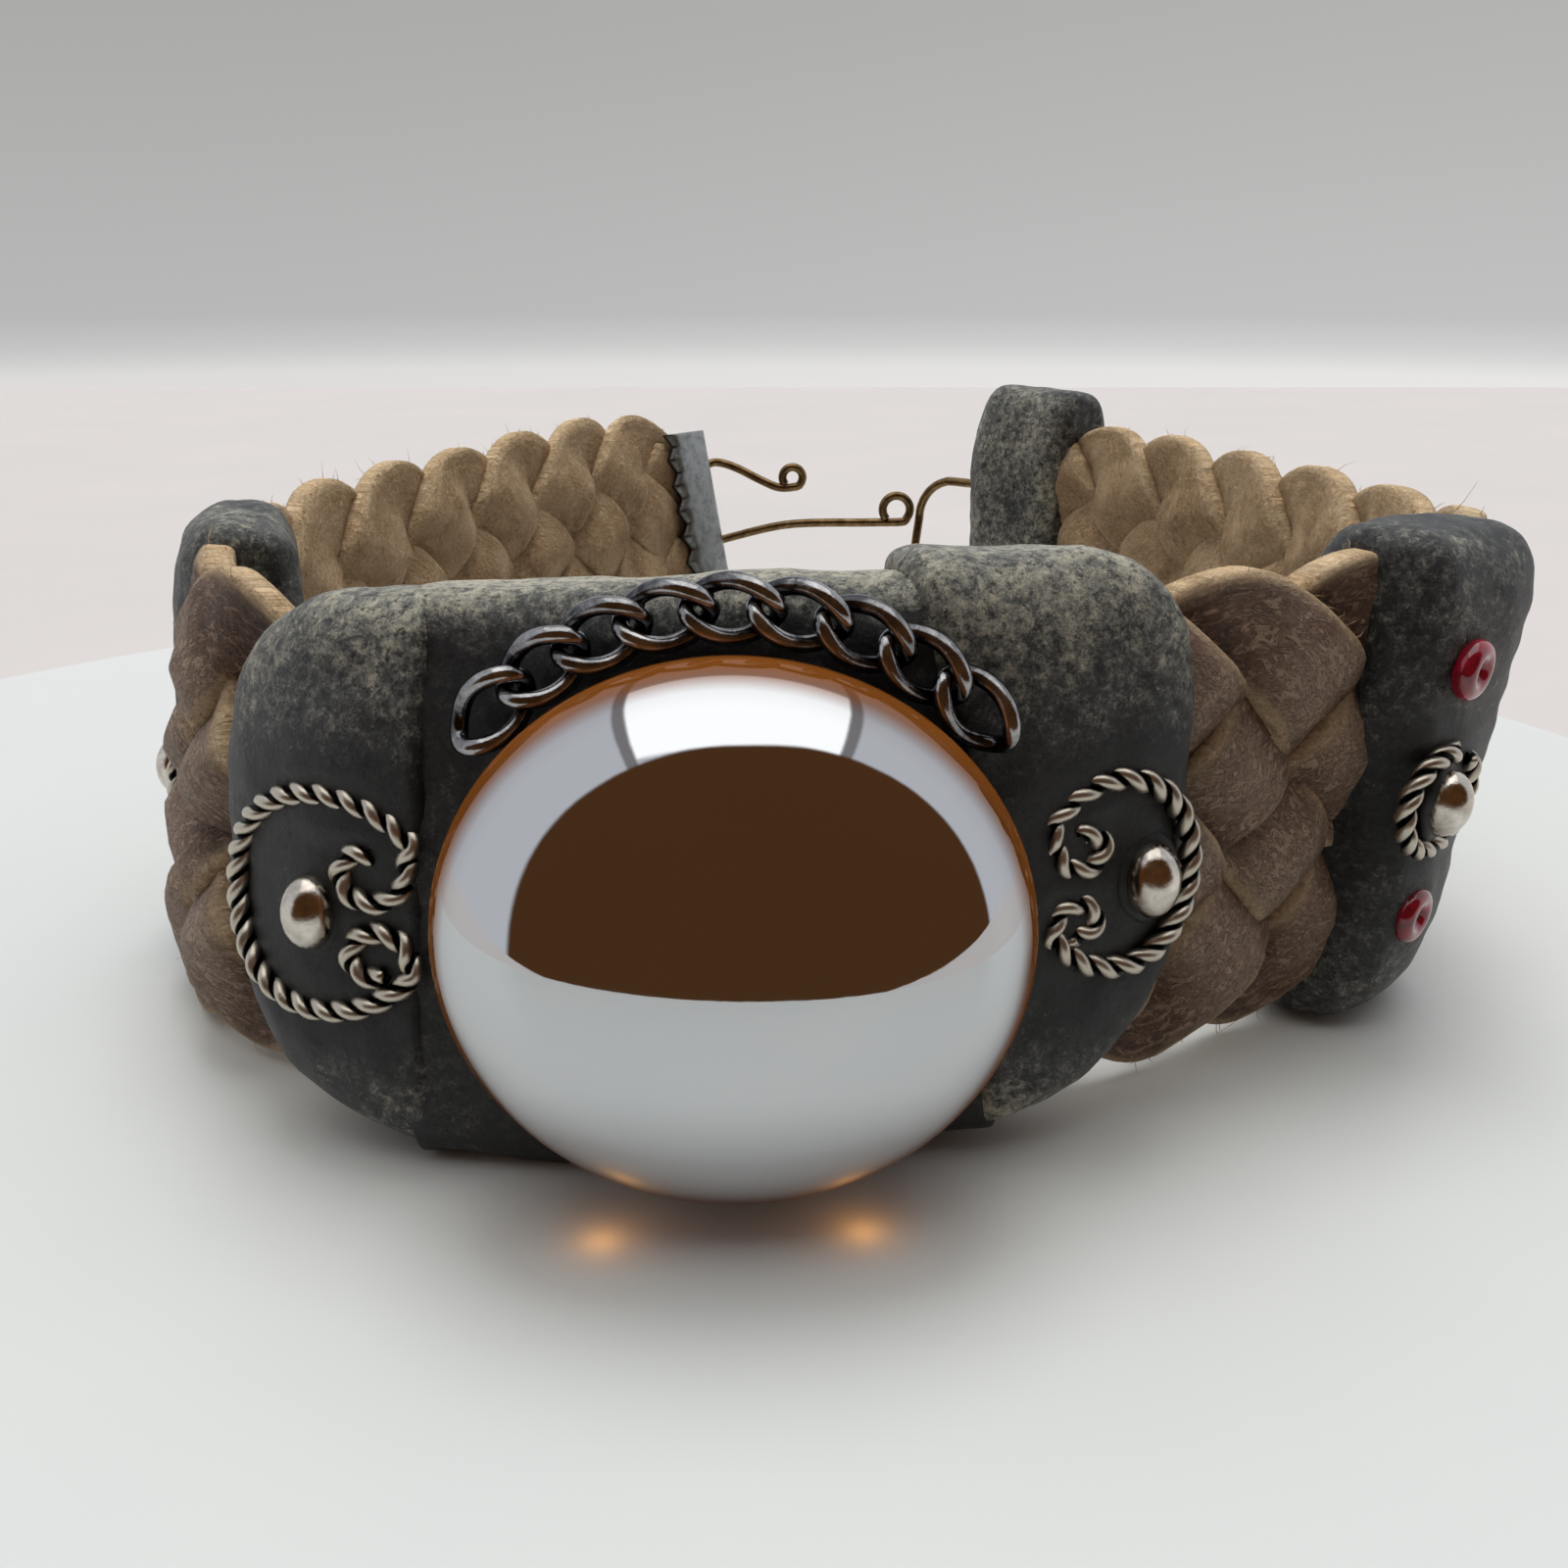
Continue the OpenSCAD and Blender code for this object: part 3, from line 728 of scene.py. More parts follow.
def clay_rings(side, run, share, t_in, t_out, low, high, e_t, e_w, shift=None):
    """Rings of a clay piece that closes onto the strap at its rounded ends."""
    half_t, half_w = (t_out.max() - t_in.min()) / 2, (high.max() - low.min()) / 2
    angles = section_angles(half_t, half_w, e_t, e_w, CLAY_POINTS)
    c, d = power(np.cos(angles), e_t), power(np.sin(angles), e_w)
    t_in = -CLAY_CORE + (t_in + CLAY_CORE) * share
    t_out = CLAY_CORE + (t_out - CLAY_CORE) * share
    low = low + CLAY_SHRINK * (1 - share)
    high = high - CLAY_SHRINK * (1 - share)
    t = (t_in + t_out)[:, None] / 2 + (t_out - t_in)[:, None] / 2 * c
    w = (low + high)[:, None] / 2 + (high - low)[:, None] / 2 * d
    s = np.broadcast_to(run[:, None], w.shape)
    if shift is not None:
        s = s + shift(s, w)
    return spot(side, s, t, w), s, t, w


def knead(rings, seed, amount=0.1):
    """Clay's uneven surface: soft dents, small lumps, and a flat foot on the table."""
    dents, small = lumps(rings, 4.5, seed), lumps(rings, 1.1, seed + 1)
    rings = displace(rings, amount * dents + amount * 0.3 * small)
    rings[..., 2] = np.maximum(rings[..., 2], 0.0)
    return rings


def near(s, w, points, reach):
    """1 on a line of points in the band's face, falling to 0 at a distance."""
    least = np.full(s.shape, 1e9)
    for ps, pw in points:
        least = np.minimum(least, (s - ps) ** 2 + (w - pw) ** 2)
    return np.exp(-least / reach**2)


def swell(x, rim):
    """1 at the middle of a run of 0 to 1, falling by rim at its two ends."""
    return 1 - rim * np.abs(2 * x - 1) ** 3


def drop(x, radius):
    """How far a rounded corner falls: 0 where x is 0, and about the radius where x is 1."""
    u = np.clip(x, 0, 1)
    return radius * (1 - np.sqrt(1 - u * u * 0.98))


def spiral(centre, radius, angle, count, stretch=1.0):
    """A curve whose radius and angle both run evenly between two values."""
    u = np.linspace(0, 1, count)
    r = radius[0] + (radius[1] - radius[0]) * u
    a = np.radians(angle[0] + (angle[1] - angle[0]) * u)
    return np.stack([centre[0] + r * np.cos(a), centre[1] + r * stretch * np.sin(a)], -1)


def scroll(at, size, stretch):
    """A ring open towards the seam, with both of its ends curled up inside it."""
    high = (at[0] - size * 0.45, at[1] + size * 0.32 * stretch)
    low = (at[0] - size * 0.5, at[1] - size * 0.46 * stretch)
    upper = spiral(high, (size * 0.17, size * 0.34), (470, 165), 26)
    ring = spiral(at, (size, size), (146, -144), 44, stretch)
    lower = spiral(low, (size * 0.28, size * 0.17), (185, -120), 22)
    return np.concatenate([upper, ring, lower])


# Places on the band's face as (distance along it, height up it)
SCROLL = {LEFT: scroll((16.9, 11.2), 4.7, 1.03), RIGHT: scroll((15.3, 11.8), 3.4, 1.25)}
FRONT_STUD = {LEFT: (17.2, 10.8), RIGHT: (16.6, 11.5)}
# Each front sleeve's lower edge, and the radii of its outer corners below and above
FRONT_CORNERS = {LEFT: (-1, 15, 7), RIGHT: (-0.6, 12, 6)}
FRONT_TRIM = CLAY_FRONT * 0.97
FRONT_RIM = 0.22
SEAM_LAP = {RIGHT: 2.6, LEFT: 0.5}


def seam_shift(side):
    """The front right sleeve laps over the panel, further at its top."""
    def shift(s, w):
        fade = 1 - smoothstep(s, SEAM[side], SEAM[side] + 5)
        return -SEAM_LAP[side] * smoothstep(w, 8, 26) * fade
    return shift


def front_sleeve(side):
    word = BODY[side]
    seam, end = SEAM[side], FRONT_END[side]
    bottom, low_corner, high_corner = FRONT_CORNERS[side]
    run, share = rounded_run(seam, end, 1.0, 1.7)
    x = (run - seam) / (end - seam)
    thick = swell(x * 0.5 + 0.5, FRONT_RIM)
    low = drop(1 - (end - run) / low_corner, low_corner) + bottom
    high = FRONT_HEIGHT[side] - 1 - drop(1 - (end - run) / high_corner, high_corner)
    proud = 0.45 if side > 0 else 0.2
    t_out = (CLAY_FRONT + proud * (1 - x)) * thick
    rings, s, t, w = clay_rings(
        side, run, share, -CLAY_BACK * thick, t_out, low, high, 0.55, 0.33, seam_shift(side))
    front = smoothstep(t, 1, 4)
    # Painted shade: the front face darkens along the rope scroll, and more inside its ring.
    shade = near(s, w, SCROLL[side][::2], 1.5) * front
    inside = np.exp(-(((s - SCROLL[side][30, 0]) / 5) ** 2 + ((w - 11) / 6) ** 2)) * front
    groove = near(s, w, SCROLL[side], 0.75) * front
    rings = displace(knead(rings, 40 + side), -0.22 * groove)
    light = smoothstep(w, 14, 25) + (1.0 if side > 0 else 0.6) * smoothstep(w, 7, 0) - 0.25
    shade = np.clip(shade + 0.35 * inside, 0, 1)
    Shells().skin(rings, light=light, shade=shade).build(
        f"front_{word}_clay", CLAY, "clay", "centre", [f"front_{word}_sleeve"])


def rear_sleeve(side):
    word = BODY[side]
    start, end = REAR[side]
    run, share = rounded_run(start, end, 1.6, 1.6)
    thick = swell((run - start) / (end - start), 0.2)
    rings, s, t, w = clay_rings(
        side, run, share, -CLAY_BACK * thick, REAR_CLAY[side] * thick, -0.5 - 0.3 * thick,
        REAR_SLEEVE_HEIGHT * (0.97 + 0.03 * thick) - 1, 0.6, 0.36,
        shift=lambda s, w: 0.35 * np.sin(w * 0.4 + side) * (2 * (s - start) / (end - start) - 1) ** 3)
    middle = trim_at(side)
    post = [(middle, REAR_STUD[side] + dw) for dw in (-1.8, 0, 1.8)]
    # Painted shade round the stud and its rope ring.
    shade = near(s, w, post, 2.2) * smoothstep(t, 1, 3)
    rings = knead(rings, 50 + side, 0.12)
    light = (0.15 if side > 0 else 0.4) * smoothstep(w, 16, 25) + 0.35 * smoothstep(w, 5, 0) - 0.05
    Shells().skin(rings, light=light, shade=shade).build(
        f"rear_{word}_clay", CLAY, "clay", word + "_side", [f"rear_{word}_sleeve"])


def trim_at(side):
    """The distance along the band of the rear sleeve's stud."""
    return (REAR[side][0] + REAR[side][1]) / 2 + TRIM_OFFSET[side]


PANEL_TUCK = 1.2


def centre_panel():
    """The panel runs from one front sleeve to the other, and a little way under each."""
    left = np.linspace(SEAM[LEFT] + PANEL_TUCK, 0, 34)
    right = np.linspace(0, SEAM[RIGHT] + PANEL_TUCK, 30)[1:]
    parts = []
    for side, run in ((LEFT, left), (RIGHT, right)):
        full = np.ones(len(run))
        parts.append(clay_rings(
            side, run, full, -CLAY_BACK * 0.95 * full, CLAY_FRONT * 0.95 * full,
            lookup(run, PANEL_LOW[side]), (PANEL_HEIGHT - 1) * full, 0.5, 0.30))
    rings, s, t, w = (np.concatenate([a, b]) for a, b in zip(*parts))
    rings = knead(rings, 61, 0.09)
    front = smoothstep(t, 1, 4)
    light = 0.9 * smoothstep(w, 21, 25.4) + 0.25 * (1 - front)
    # Painted shade on the front face below the top edge, under the chain.
    shade = 0.35 * smoothstep(w, 24.5, 21.5) * front
    Shells().skin(rings, light=light, shade=shade).build(
        "centre_clay", CLAY, "dark_clay", "centre", ["centre_panel"])


def end_cap():
    start, end = END_CAP
    run, share = rounded_run(start, end, 1.2, 2.2)
    x = (run - start) / (end - start)
    thick = swell(x, 0.22)
    corner = drop(4 * x - 3, 3)
    low, high = corner - 1.5, STRAP_HEIGHT + 2.2 - corner
    rings, s, t, w = clay_rings(
        RIGHT, run, share, -CLAY_BACK * thick, CLAY_BACK * thick, low, high, 0.6, 0.36)
    light = 0.5 * smoothstep(t, 0, -3) * smoothstep(w, 4, 14) + 0.25 * smoothstep(w, 20, 26)
    Shells().skin(knead(rings, 71), light=light).build(
        "end_cap_clay", CLAY, "clay", "right_end", ["end_cap"])


# ---------------------------------------------------------------- cabochon and chain

CABOCHON_AT = np.array([FRONT[0], FRONT[1] - 4.8, 12.4])
CABOCHON_LEAN = 8
CABOCHON_WIDTH = 24.2
CABOCHON_HEIGHT = 22.4
CABOCHON_SHAPE = CABOCHON_HEIGHT / CABOCHON_WIDTH
DOME_RISE = 6
GIRDLE = 1
BACK_EDGE = 0.6
BED_DEPTH = 2.1


def on_cabochon(points):
    """From the cabochon's own frame, its back at the origin and its dome along +Z."""
    a = math.radians(90 - CABOCHON_LEAN)
    x, y, z = points[..., 0], points[..., 1], points[..., 2]
    turned = np.stack([x, y * math.cos(a) - z * math.sin(a), y * math.sin(a) + z * math.cos(a)], -1)
    return CABOCHON_AT + turned


def cabochon():
    """A flat back with a rounded edge, a short upright girdle, and half an ellipse over it."""
    r, e = CABOCHON_WIDTH / 2, BACK_EDGE
    edge = [(r - e + e * math.sin(q), e - e * math.cos(q)) for q in np.radians(np.arange(0, 90, 15))]
    arc = np.radians(np.linspace(0, 89.6, 64))
    dome = [(r * math.cos(q), GIRDLE + DOME_RISE * math.sin(q)) for q in arc]
    profile = np.array([(0.05, 0.0), (r * 0.6, 0.0)] + edge + dome)
    rings = revolve(profile, 192, on_cabochon, CABOCHON_SHAPE)
    Shells().skin(rings, rim=smoothstep(profile[:, 0] / r, 0.86, 1.0)[:, None]).build(
        "cabochon", GLASS, "cabochon_glass", "centre", ["glass_cabochon"])


def cabochon_bed():
    """The collar of clay that the glass is pressed into."""
    r = CABOCHON_WIDTH / 2
    profile = np.array([
        (0.1, -BED_DEPTH), (r * 0.55, -BED_DEPTH), (r * 0.92, -BED_DEPTH), (r * 0.955, -1.5),
        (r * 0.96, -0.9), (r * 0.95, -0.4), (r * 0.93, -0.02), (r * 0.5, -0.02), (0.1, -0.02),
    ])
    # Painted shade: the whole collar round the glass is darkened.
    Shells().skin(revolve(profile, 160, on_cabochon, CABOCHON_SHAPE), shade=1.0).build(
        "cabochon_collar", CLAY, "dark_clay", "centre", ["cabochon_bed"])


CHAIN_WIRE = 0.75
CHAIN_LINKS = 9
CHAIN_RADIUS = 13.3
CHAIN_PITCH = 2.75
CHAIN_SAG = 0.45
CHAIN_OUT = -0.65
CHAIN_PLAY = 0.16
LINK_WIDTH = 3


def turned(x, y, angle):
    """x and y turned by an angle in radians."""
    return x * math.cos(angle) - y * math.sin(angle), x * math.sin(angle) + y * math.cos(angle)


def curb_chain():
    """Twisted oval links along an arc over the cabochon, each with a little roll of its own."""
    rng = np.random.default_rng(5)
    length = CHAIN_PITCH + 2 * CHAIN_WIRE + CHAIN_PLAY
    a = TAU * np.arange(56) / 56
    twist = np.radians(45) * np.cos(a)
    half = (LINK_WIDTH - CHAIN_WIRE) / 2 * np.sin(a)
    path = [(length - CHAIN_WIRE) / 2 * np.cos(a), half * np.cos(twist), half * np.sin(twist)]
    path = np.stack(path, -1)
    run = unit(np.roll(path, -1, 0) - np.roll(path, 1, 0))
    u = unit(np.cross(run, [0, 0, 1]))
    x, flat_y, flat_z = np.moveaxis(hoops(path, u, np.cross(run, u), CHAIN_WIRE / 2, 14), -1, 0)
    shells = Shells()
    step = CHAIN_PITCH / CHAIN_RADIUS
    for i in range(CHAIN_LINKS):
        at = math.radians(90) - step * (i - (CHAIN_LINKS - 1) / 2)
        y, z = turned(flat_y, flat_z, math.radians(rng.uniform(-4, 4)))
        radial = CHAIN_RADIUS - CHAIN_SAG * math.sin(at) ** 2 - y
        points = np.stack([*turned(radial, x, at), z + CHAIN_OUT], -1)
        shells.skin(on_cabochon(points), closed=True, crest=smoothstep(z, -0.6, 1.2))
    shells.build("curb_links", CHAIN, "chain_steel", "centre", ["curb_chain"])


# ---------------------------------------------------------------- trim

ROPE_WIRE = 1.1
ROPE_PITCH = 2.35
REAR_RING_R = 2.5
STUD_D = 2.8
# The stud's width as a share of STUD_D, its height as a share of its width, and its collar's height
STUD_WIDE = 0.9
STUD_TALL = 1.355
COLLAR_TALL = 1.2
REAR_STUD = {RIGHT: 12.4, LEFT: 9.8}
TRIM_OFFSET = {RIGHT: -2.3, LEFT: 0.5}
BEAD_D = 3
BEAD_TUBE = BEAD_D * 0.19
BEAD_OFFSET = {RIGHT: 0.3, LEFT: 2.6}
BEAD_HEIGHTS = (("upper", 19), ("lower", 6))


def on_face(side, s, t, w):
    """Turns a piece so that its Z runs outwards from the band's face and its Y up it."""
    origin, z, y = spot(side, s, t, w), outward(side, s), upward(side, s)
    x = np.cross(y, z)
    return lambda p: origin + p[..., 0:1] * x + p[..., 1:2] * y + p[..., 2:3] * z


def front_surface(side, s):
    """How far out the front sleeve's face is."""
    x = (s - SEAM[side]) / (FRONT_END[side] - SEAM[side])
    return CLAY_FRONT * swell(np.clip(x, 0, 1) * 0.5 + 0.5, FRONT_RIM)


def twisted_rope(name, side, route, t, body, node):
    """Two wires laid round each other along a route in the band's face."""
    path = smooth_path(spot(side, route[:, 0], t, route[:, 1]), 0.12)
    facing = outward(side, route[:, 0].mean())
    u, v = frames(path, facing)
    shells = Shells()
    wire = ROPE_WIRE * 0.28
    for k in range(2):
        a = (TAU * (distances(path) / ROPE_PITCH + k / 2))[:, None]
        centre = path + (ROPE_WIRE / 2 - wire) * (np.cos(a) * u + np.sin(a) * v)
        rings = hoops(centre, *frames(centre, facing), wire, 12)
        away = np.linalg.norm(rings - path[:, None], axis=-1) / (ROPE_WIRE / 2)
        shells.skin(rings, crest=smoothstep(away, 0.6, 1.0))
    shells.build(name, ROPE, "rope_wire", body, [node])


def stud(name, side, s, w, t, body, node):
    """A tall ball, pressed into a small collar of clay."""
    r = STUD_D / 2
    q = np.radians(np.linspace(-89.5, 89.5, 48))
    profile = np.stack([STUD_WIDE * r * np.cos(q), STUD_WIDE * r * np.sin(q)], -1)
    Shells().skin(revolve(profile, 64, on_face(side, s, t, w), STUD_TALL)).build(
        name, SILVER, "stud_silver", body, [node])
    b = TAU * np.arange(20) / 20
    section = np.stack([r * 0.98 + 0.42 * np.cos(b), 0.34 * np.sin(b) - 0.25], -1)
    rings = on_face(side, s, t - 0.1, w)(turned_ring(section, 72, STUD_WIDE, COLLAR_TALL))
    rings = displace(rings, 0.05 * lumps(rings, 0.9, 77), closed=True)
    # Painted shade: the whole clay collar round the stud is darkened.
    Shells().skin(rings, closed=True, shade=1.0).build(name + "_collar", CLAY, "dark_clay", body)


def bead(name, side, w, body, node):
    """A seed bead that lies flat on the clay, hole outwards."""
    b = TAU * np.arange(28) / 28
    section = np.stack([BEAD_D / 2 - BEAD_TUBE + BEAD_TUBE * np.cos(b), BEAD_TUBE * np.sin(b)], -1)
    place = on_face(side, trim_at(side) + BEAD_OFFSET[side], REAR_CLAY[side] - 0.1, w)
    Shells().skin(place(turned_ring(section, 64)), closed=True).build(
        name, BEAD, "bead_glass", body, [node])


def trim():
    for side in (LEFT, RIGHT):
        word, route = BODY[side], SCROLL[side]
        t = np.minimum(FRONT_TRIM, front_surface(side, route[:, 0]) + 0.12)
        twisted_rope(f"front_{word}_scroll", side, route, t, "centre", f"front_{word}_rope")
        s, w = FRONT_STUD[side]
        stud(f"front_{word}_ball", side, s, w, FRONT_TRIM + 0.1, "centre", f"front_{word}_stud")
        body, s, w, t = word + "_side", trim_at(side), REAR_STUD[side], REAR_CLAY[side]
        ring = spiral((s, w), (REAR_RING_R, REAR_RING_R), (80, 410), 34)
        twisted_rope(f"rear_{word}_ring", side, ring, t, body, f"rear_{word}_rope")
        stud(f"rear_{word}_ball", side, s, w, t + 0.3, body, f"rear_{word}_stud")
        for level, height in BEAD_HEIGHTS:
            bead(f"rear_{word}_{level}_donut", side, height, body, f"rear_{word}_{level}_bead")


# ---------------------------------------------------------------- clasp

CLASP_WIRE = 0.75
CRIMP_SHEET = 0.5
CRIMP_WEB = 0.6
CRIMP_PLAY = 0.15
CRIMP_TEETH = 9
CRIMP_LOW = 1
CRIMP_TALL = STRAP_HEIGHT - 4.2
CRIMP_FOLD = 0.9
CRIMP_BITE = 0.75
PRESSED = 2.6
EYE_REACH, EYE_CORNER, EYE_ROOT = 6.8, 3.6, 2
EYE_TOP, EYE_BOTTOM = 17.8, 7.4
UPPER_HOOK_W, LOWER_HOOK_W = 17.6, 11
# How far each hook's head is inside the crimp's web
HOOK_HEAD = 1.1


def ribbon_crimp():
    """A strip folded over the strap's end, with teeth that bite at its free edges."""
    inner = PRESSED / 2 + CRIMP_PLAY
    outer = inner + CRIMP_SHEET
    fold = CRIMP_FOLD
    arc = np.radians(np.linspace(0, 90, 7))
    half = [(CRIMP_LENGTH, outer - 0.12), (CRIMP_LENGTH * 0.72, outer), (CRIMP_LENGTH * 0.4, outer)]
    half += [(fold - fold * math.sin(q), outer - fold + fold * math.cos(q)) for q in arc]
    back = [(CRIMP_WEB + 0.3 - 0.3 * math.sin(q), inner - 0.3 + 0.3 * math.cos(q)) for q in arc[::2]]
    back = back[::-1] + [(CRIMP_LENGTH * 0.4, inner), (CRIMP_LENGTH * 0.72, inner)]
    back.append((CRIMP_LENGTH, inner - 0.12))
    outside = half + [(x, -z) for x, z in half[::-1]]
    inside = [(x, -z) for x, z in back[::-1]] + back
    loop = np.array(outside + inside)
    rows = 12 * CRIMP_TEETH + 1
    v = np.linspace(0, 1, rows)
    tooth = 0.9 * np.abs(((v * CRIMP_TEETH) % 1) - 0.5) * 2 / 0.9
    tip = smoothstep(loop[:, 0], CRIMP_LENGTH * 0.7, CRIMP_LENGTH)
    x = loop[None, :, 0] - CRIMP_BITE * (1 - tooth[:, None]) * tip[None]
    z = np.broadcast_to(loop[None, :, 1], x.shape)
    y = np.broadcast_to((CRIMP_LOW + CRIMP_TALL * v)[:, None], x.shape)
    origin = spot(LEFT, LEFT_END, 0, 0)
    frame_x, frame_y, frame_z = -run_of(LEFT, LEFT_END), upward(LEFT, LEFT_END), outward(LEFT, LEFT_END)
    rings = origin + x[..., None] * frame_x + y[..., None] * frame_y + z[..., None] * frame_z
    Shells().skin(rings, crest=1 - tip).build(
        "crimp", STEEL, "crimp_steel", "left_end", ["ribbon_crimp"])


def clasp_wire(name, points, body, node):
    path = smooth_path(points, 0.2)
    rings = hoops(path, *frames(path, [0.12, 1.0, 0.08]), CLASP_WIRE / 2, 14)
    Shells().skin(rings, crest=0.5).build(name, BRONZE, "clasp_bronze", body, [node])


def hook_route(w, route, curl_at, curl_r):
    """Out of the crimp's web, along the given points from there, and round a curl."""
    start = spot(LEFT, LEFT_END, 0, w)
    inside = start - (CRIMP_WEB + HOOK_HEAD) * run_of(LEFT, LEFT_END)
    a = np.radians(-90 + 24 * np.arange(1, 14))
    curl = start + np.array(curl_at) + curl_r * np.stack([np.cos(a), 0 * a, np.sin(a)], -1)
    return np.concatenate([[inside, start], start + np.array(route), curl])


def eye_route():
    """A square loop with rounded corners, both of its ends inside the end cap."""
    run = run_of(RIGHT, END_CAP[1])
    up = np.array([0, 0, 1.0])
    top, bottom = (spot(RIGHT, END_CAP[1], 0, w) for w in (EYE_TOP, EYE_BOTTOM))
    a = np.radians(np.linspace(90, 0, 7))
    out = EYE_REACH - EYE_CORNER
    bend = np.stack([out + EYE_CORNER * np.cos(a), EYE_CORNER * (np.sin(a) - 1)], -1)
    upper = [top + x * run + z * up for x, z in bend]
    lower = [bottom + x * run - z * up for x, z in bend[::-1]]
    return np.array([top - EYE_ROOT * run] + upper + lower + [bottom - EYE_ROOT * run])


def clasp():
    ribbon_crimp()
    upper = [(1.4, 0.9, 0.5), (3.2, 0.7, 0.1), (5.6, 0.2, -1), (7.2, 0, -1.6)]
    upper = hook_route(UPPER_HOOK_W, upper, curl_at=(8.4, 0, -0.7), curl_r=0.9)
    lower = [(1.6, 0.6, 0.4), (7, -0.6, 1.8), (14, -2, 2.2)]
    lower = hook_route(LOWER_HOOK_W, lower, curl_at=(16.4, -2.3, 3.4), curl_r=1.2)
    clasp_wire("upper_hook_wire", upper, "upper_hook", "upper_hook")
    clasp_wire("lower_hook_wire", lower, "lower_hook", "lower_hook")
    clasp_wire("eye_loop", eye_route(), "right_end", "eye_wire")


# ---------------------------------------------------------------- stage and light

DISC_AT = (-11.3, -7.7)
DISC_R = 84
TABLE_DROP = 8
TABLE_CORNERS = [(-900, -105), (900, -105), (900, 470), (-900, 470)]


def stage_material(name, low, high, rough):
    material, g, shader, _ = new_material(name)
    place = g.add("ShaderNodeTexCoord").outputs["Object"]
    g.set(shader["Base Color"], g.ramp(g.noise(place, 30, 3), [(0.3, low), (0.7, high)]))
    g.set(shader["Roughness"], rough)
    g.set(shader["Specular IOR Level"], 0.3)
    return material


def stage_object(name, verts, faces, material):
    """A part of the stage, which isn't part of the model."""
    mesh = bpy.data.meshes.new(name)
    mesh.from_pydata((np.asarray(verts, float) * MM).tolist(), [], faces)
    mesh.materials.append(material)
    obj = bpy.data.objects.new(name, mesh)
    bpy.context.scene.collection.objects.link(obj)


def make_stage():
    a = TAU * np.arange(180) / 180
    ring = np.stack([np.cos(a), np.sin(a)], -1)
    rows = [(DISC_R, -4.0), (DISC_R, -0.8), (DISC_R - 0.3, -0.2), (DISC_R - 1, 0.0)]
    verts, faces = [], []
    for r, z in rows:
        verts += [(DISC_AT[0] + r * x, DISC_AT[1] + r * y, z) for x, y in ring]
    n = len(a)
    for i in range(len(rows) - 1):
        low, high = i * n, (i + 1) * n
        faces += [(low + k, low + (k + 1) % n, high + (k + 1) % n, high + k) for k in range(n)]
    faces.append(tuple((len(rows) - 1) * n + k for k in range(n)))
    pale = stage_material("turntable", (214, 217, 215), (218, 220, 217), 0.35)
    stage_object("turntable", verts, faces, pale)
    warm = stage_material("table", (208, 203, 200), (212, 206, 203), 0.6)
    stage_object("table", [(x, y, -TABLE_DROP) for x, y in TABLE_CORNERS], [(0, 1, 2, 3)], warm)


TENT_LIGHT = 0.76
TENT = (0.92, 0.95, 1.0, 1)
PANEL_LIGHT = (2.3, 2.3, 2.28, 1)
BAR_DARK = (0.16, 0.15, 0.15, 1)
OPENING_DARK = (0.115, 0.052, 0.020, 1)
# The opening's middle to the side, and its reach sideways and up, in degrees
OPENING_TURN, OPENING_WIDE, OPENING_TALL = 8, 66, 61


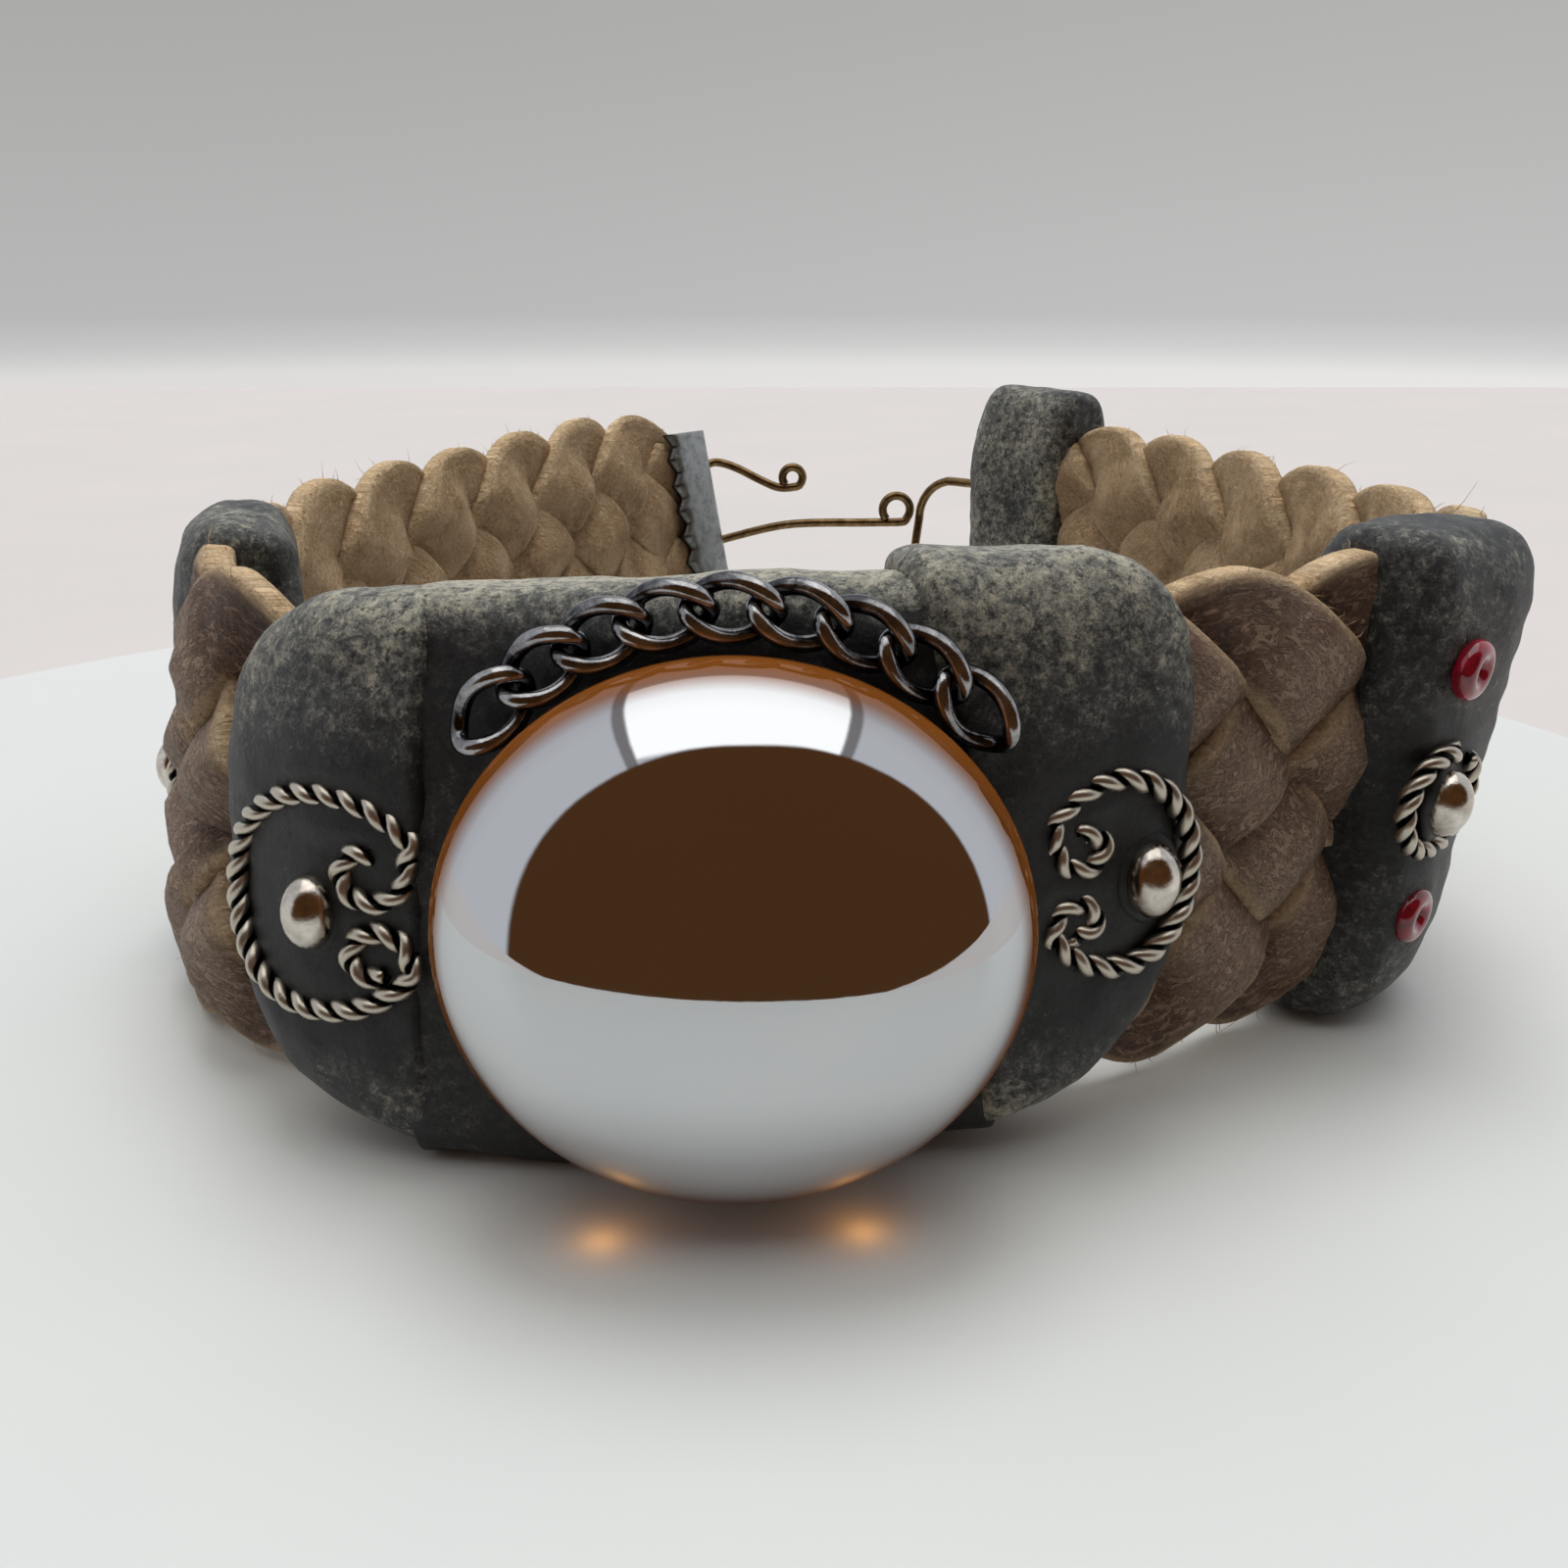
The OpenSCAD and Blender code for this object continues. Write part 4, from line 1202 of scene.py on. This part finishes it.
def make_world():
    """A white light tent: a bright panel overhead, a dim warm opening in front, and a grey backdrop."""
    world = bpy.data.worlds.new("tent")
    bpy.context.scene.world = world
    world.use_nodes = True
    tree = world.node_tree
    tree.nodes.clear()
    g = Graph(tree)
    way = g.add("ShaderNodeTexCoord").outputs["Generated"]
    xyz = g.add("ShaderNodeSeparateXYZ", {0: way}).outputs
    x, y, z = xyz

    def step(value, low, high):
        limits = {0: value, 1: low, 2: high, 3: 0.0, 4: 1.0}
        return g.add("ShaderNodeMapRange", limits, interpolation_type="SMOOTHSTEP").outputs[0]

    turn = g.math("ARCTAN2", x, g.times(y, -1.0))
    rise = g.math("ARCSINE", z)
    off = g.math("SUBTRACT", turn, math.radians(OPENING_TURN))
    off = g.math("DIVIDE", off, math.radians(OPENING_WIDE))
    sideways_part = g.math("POWER", g.math("ABSOLUTE", off), 2.6)
    up = g.math("MAXIMUM", g.math("DIVIDE", rise, math.radians(OPENING_TALL)), 0.0)
    upward_part = g.math("POWER", up, 2.6)
    over_low = step(rise, math.radians(-60), math.radians(-55))
    opening = g.times(step(g.math("ADD", sideways_part, upward_part), 1.06, 0.96), over_low)
    overhead = g.math("MAXIMUM", z, 0.02)
    sideways = g.math("ABSOLUTE", g.math("DIVIDE", x, overhead))
    forward = g.math("ABSOLUTE", g.math("DIVIDE", y, overhead))
    panel = g.times(step(sideways, 0.56, 0.53), step(forward, 0.62, 0.55))
    bar = g.times(step(sideways, 0.53, 0.56), step(sideways, 0.64, 0.61))
    bar = g.times(bar, step(forward, 1.4, 1.2))
    tent = g.mix(panel, TENT, PANEL_LIGHT)
    tent = g.mix(g.times(bar, 0.75), tent, BAR_DARK)
    tent = g.mix(opening, tent, OPENING_DARK)
    high = math.radians(20)
    lift = g.math("DIVIDE", g.math("ADD", rise, high), 2 * high)

    def at(degrees):
        return (math.radians(degrees) + high) / (2 * high)

    seen = g.ramp(lift, [
        (at(-7), (226, 222, 219)), (at(-5), (225, 222, 220)), (at(-3.9), (220, 219, 218)),
        (at(-3.0), (197, 198, 197)), (at(-2), (183, 184, 183)), (at(8), (170, 171, 169)),
    ])
    # Painted light: the backdrop that the camera sees is lighter towards the right.
    seen = g.mix(step(x, -0.5, 0.6), seen, (1.12, 1.12, 1.12, 1), "MULTIPLY")
    camera = g.add("ShaderNodeLightPath").outputs["Is Camera Ray"]
    tent = g.mix(1.0, tent, (TENT_LIGHT, TENT_LIGHT, TENT_LIGHT, 1), "MULTIPLY")
    light = g.add("ShaderNodeBackground", {"Color": g.mix(camera, tent, seen)})
    out = g.add("ShaderNodeOutputWorld")
    tree.links.new(light.outputs[0], out.inputs[0])


GLINTS = ((-8.8, -40.2, 1.1), (2.0, -39.6, 1.1))
GLINT_WATTS = 4e-5
SOFTBOX_LIGHT, SOFTBOX_ANGLE, SOFTBOX_TILT = 1.1, 28, -16


def add_light(name, kind, energy):
    """A light that doesn't show in reflections."""
    data = bpy.data.lights.new(name, kind)
    data.energy = energy
    light = bpy.data.objects.new(name, data)
    light.visible_glossy = False
    bpy.context.scene.collection.objects.link(light)
    return light


def make_glints():
    """The amber light that the glass throws on the turntable in front of it."""
    for number, place in enumerate(GLINTS, 1):
        light = add_light(f"glint_{number}", "POINT", GLINT_WATTS)
        light.location = Vector(place) * MM
        light.data.color = (1.0, 0.42, 0.08)
        light.data.shadow_soft_size = 0.4 * MM


def make_softbox():
    """The strongest part of the tent's light comes from above and a little behind."""
    light = add_light("softbox", "SUN", SOFTBOX_LIGHT)
    light.rotation_euler = Euler((math.radians(SOFTBOX_TILT), 0, 0))
    light.data.angle = math.radians(SOFTBOX_ANGLE)


make_world()
make_stage()
make_softbox()
make_glints()
bpy.context.scene.view_settings.view_transform = "Standard"

centre_panel()
for band_side in (LEFT, RIGHT):
    front_sleeve(band_side)
    rear_sleeve(band_side)
end_cap()
cabochon_bed()
cabochon()
curb_chain()
trim()
clasp()
braid()
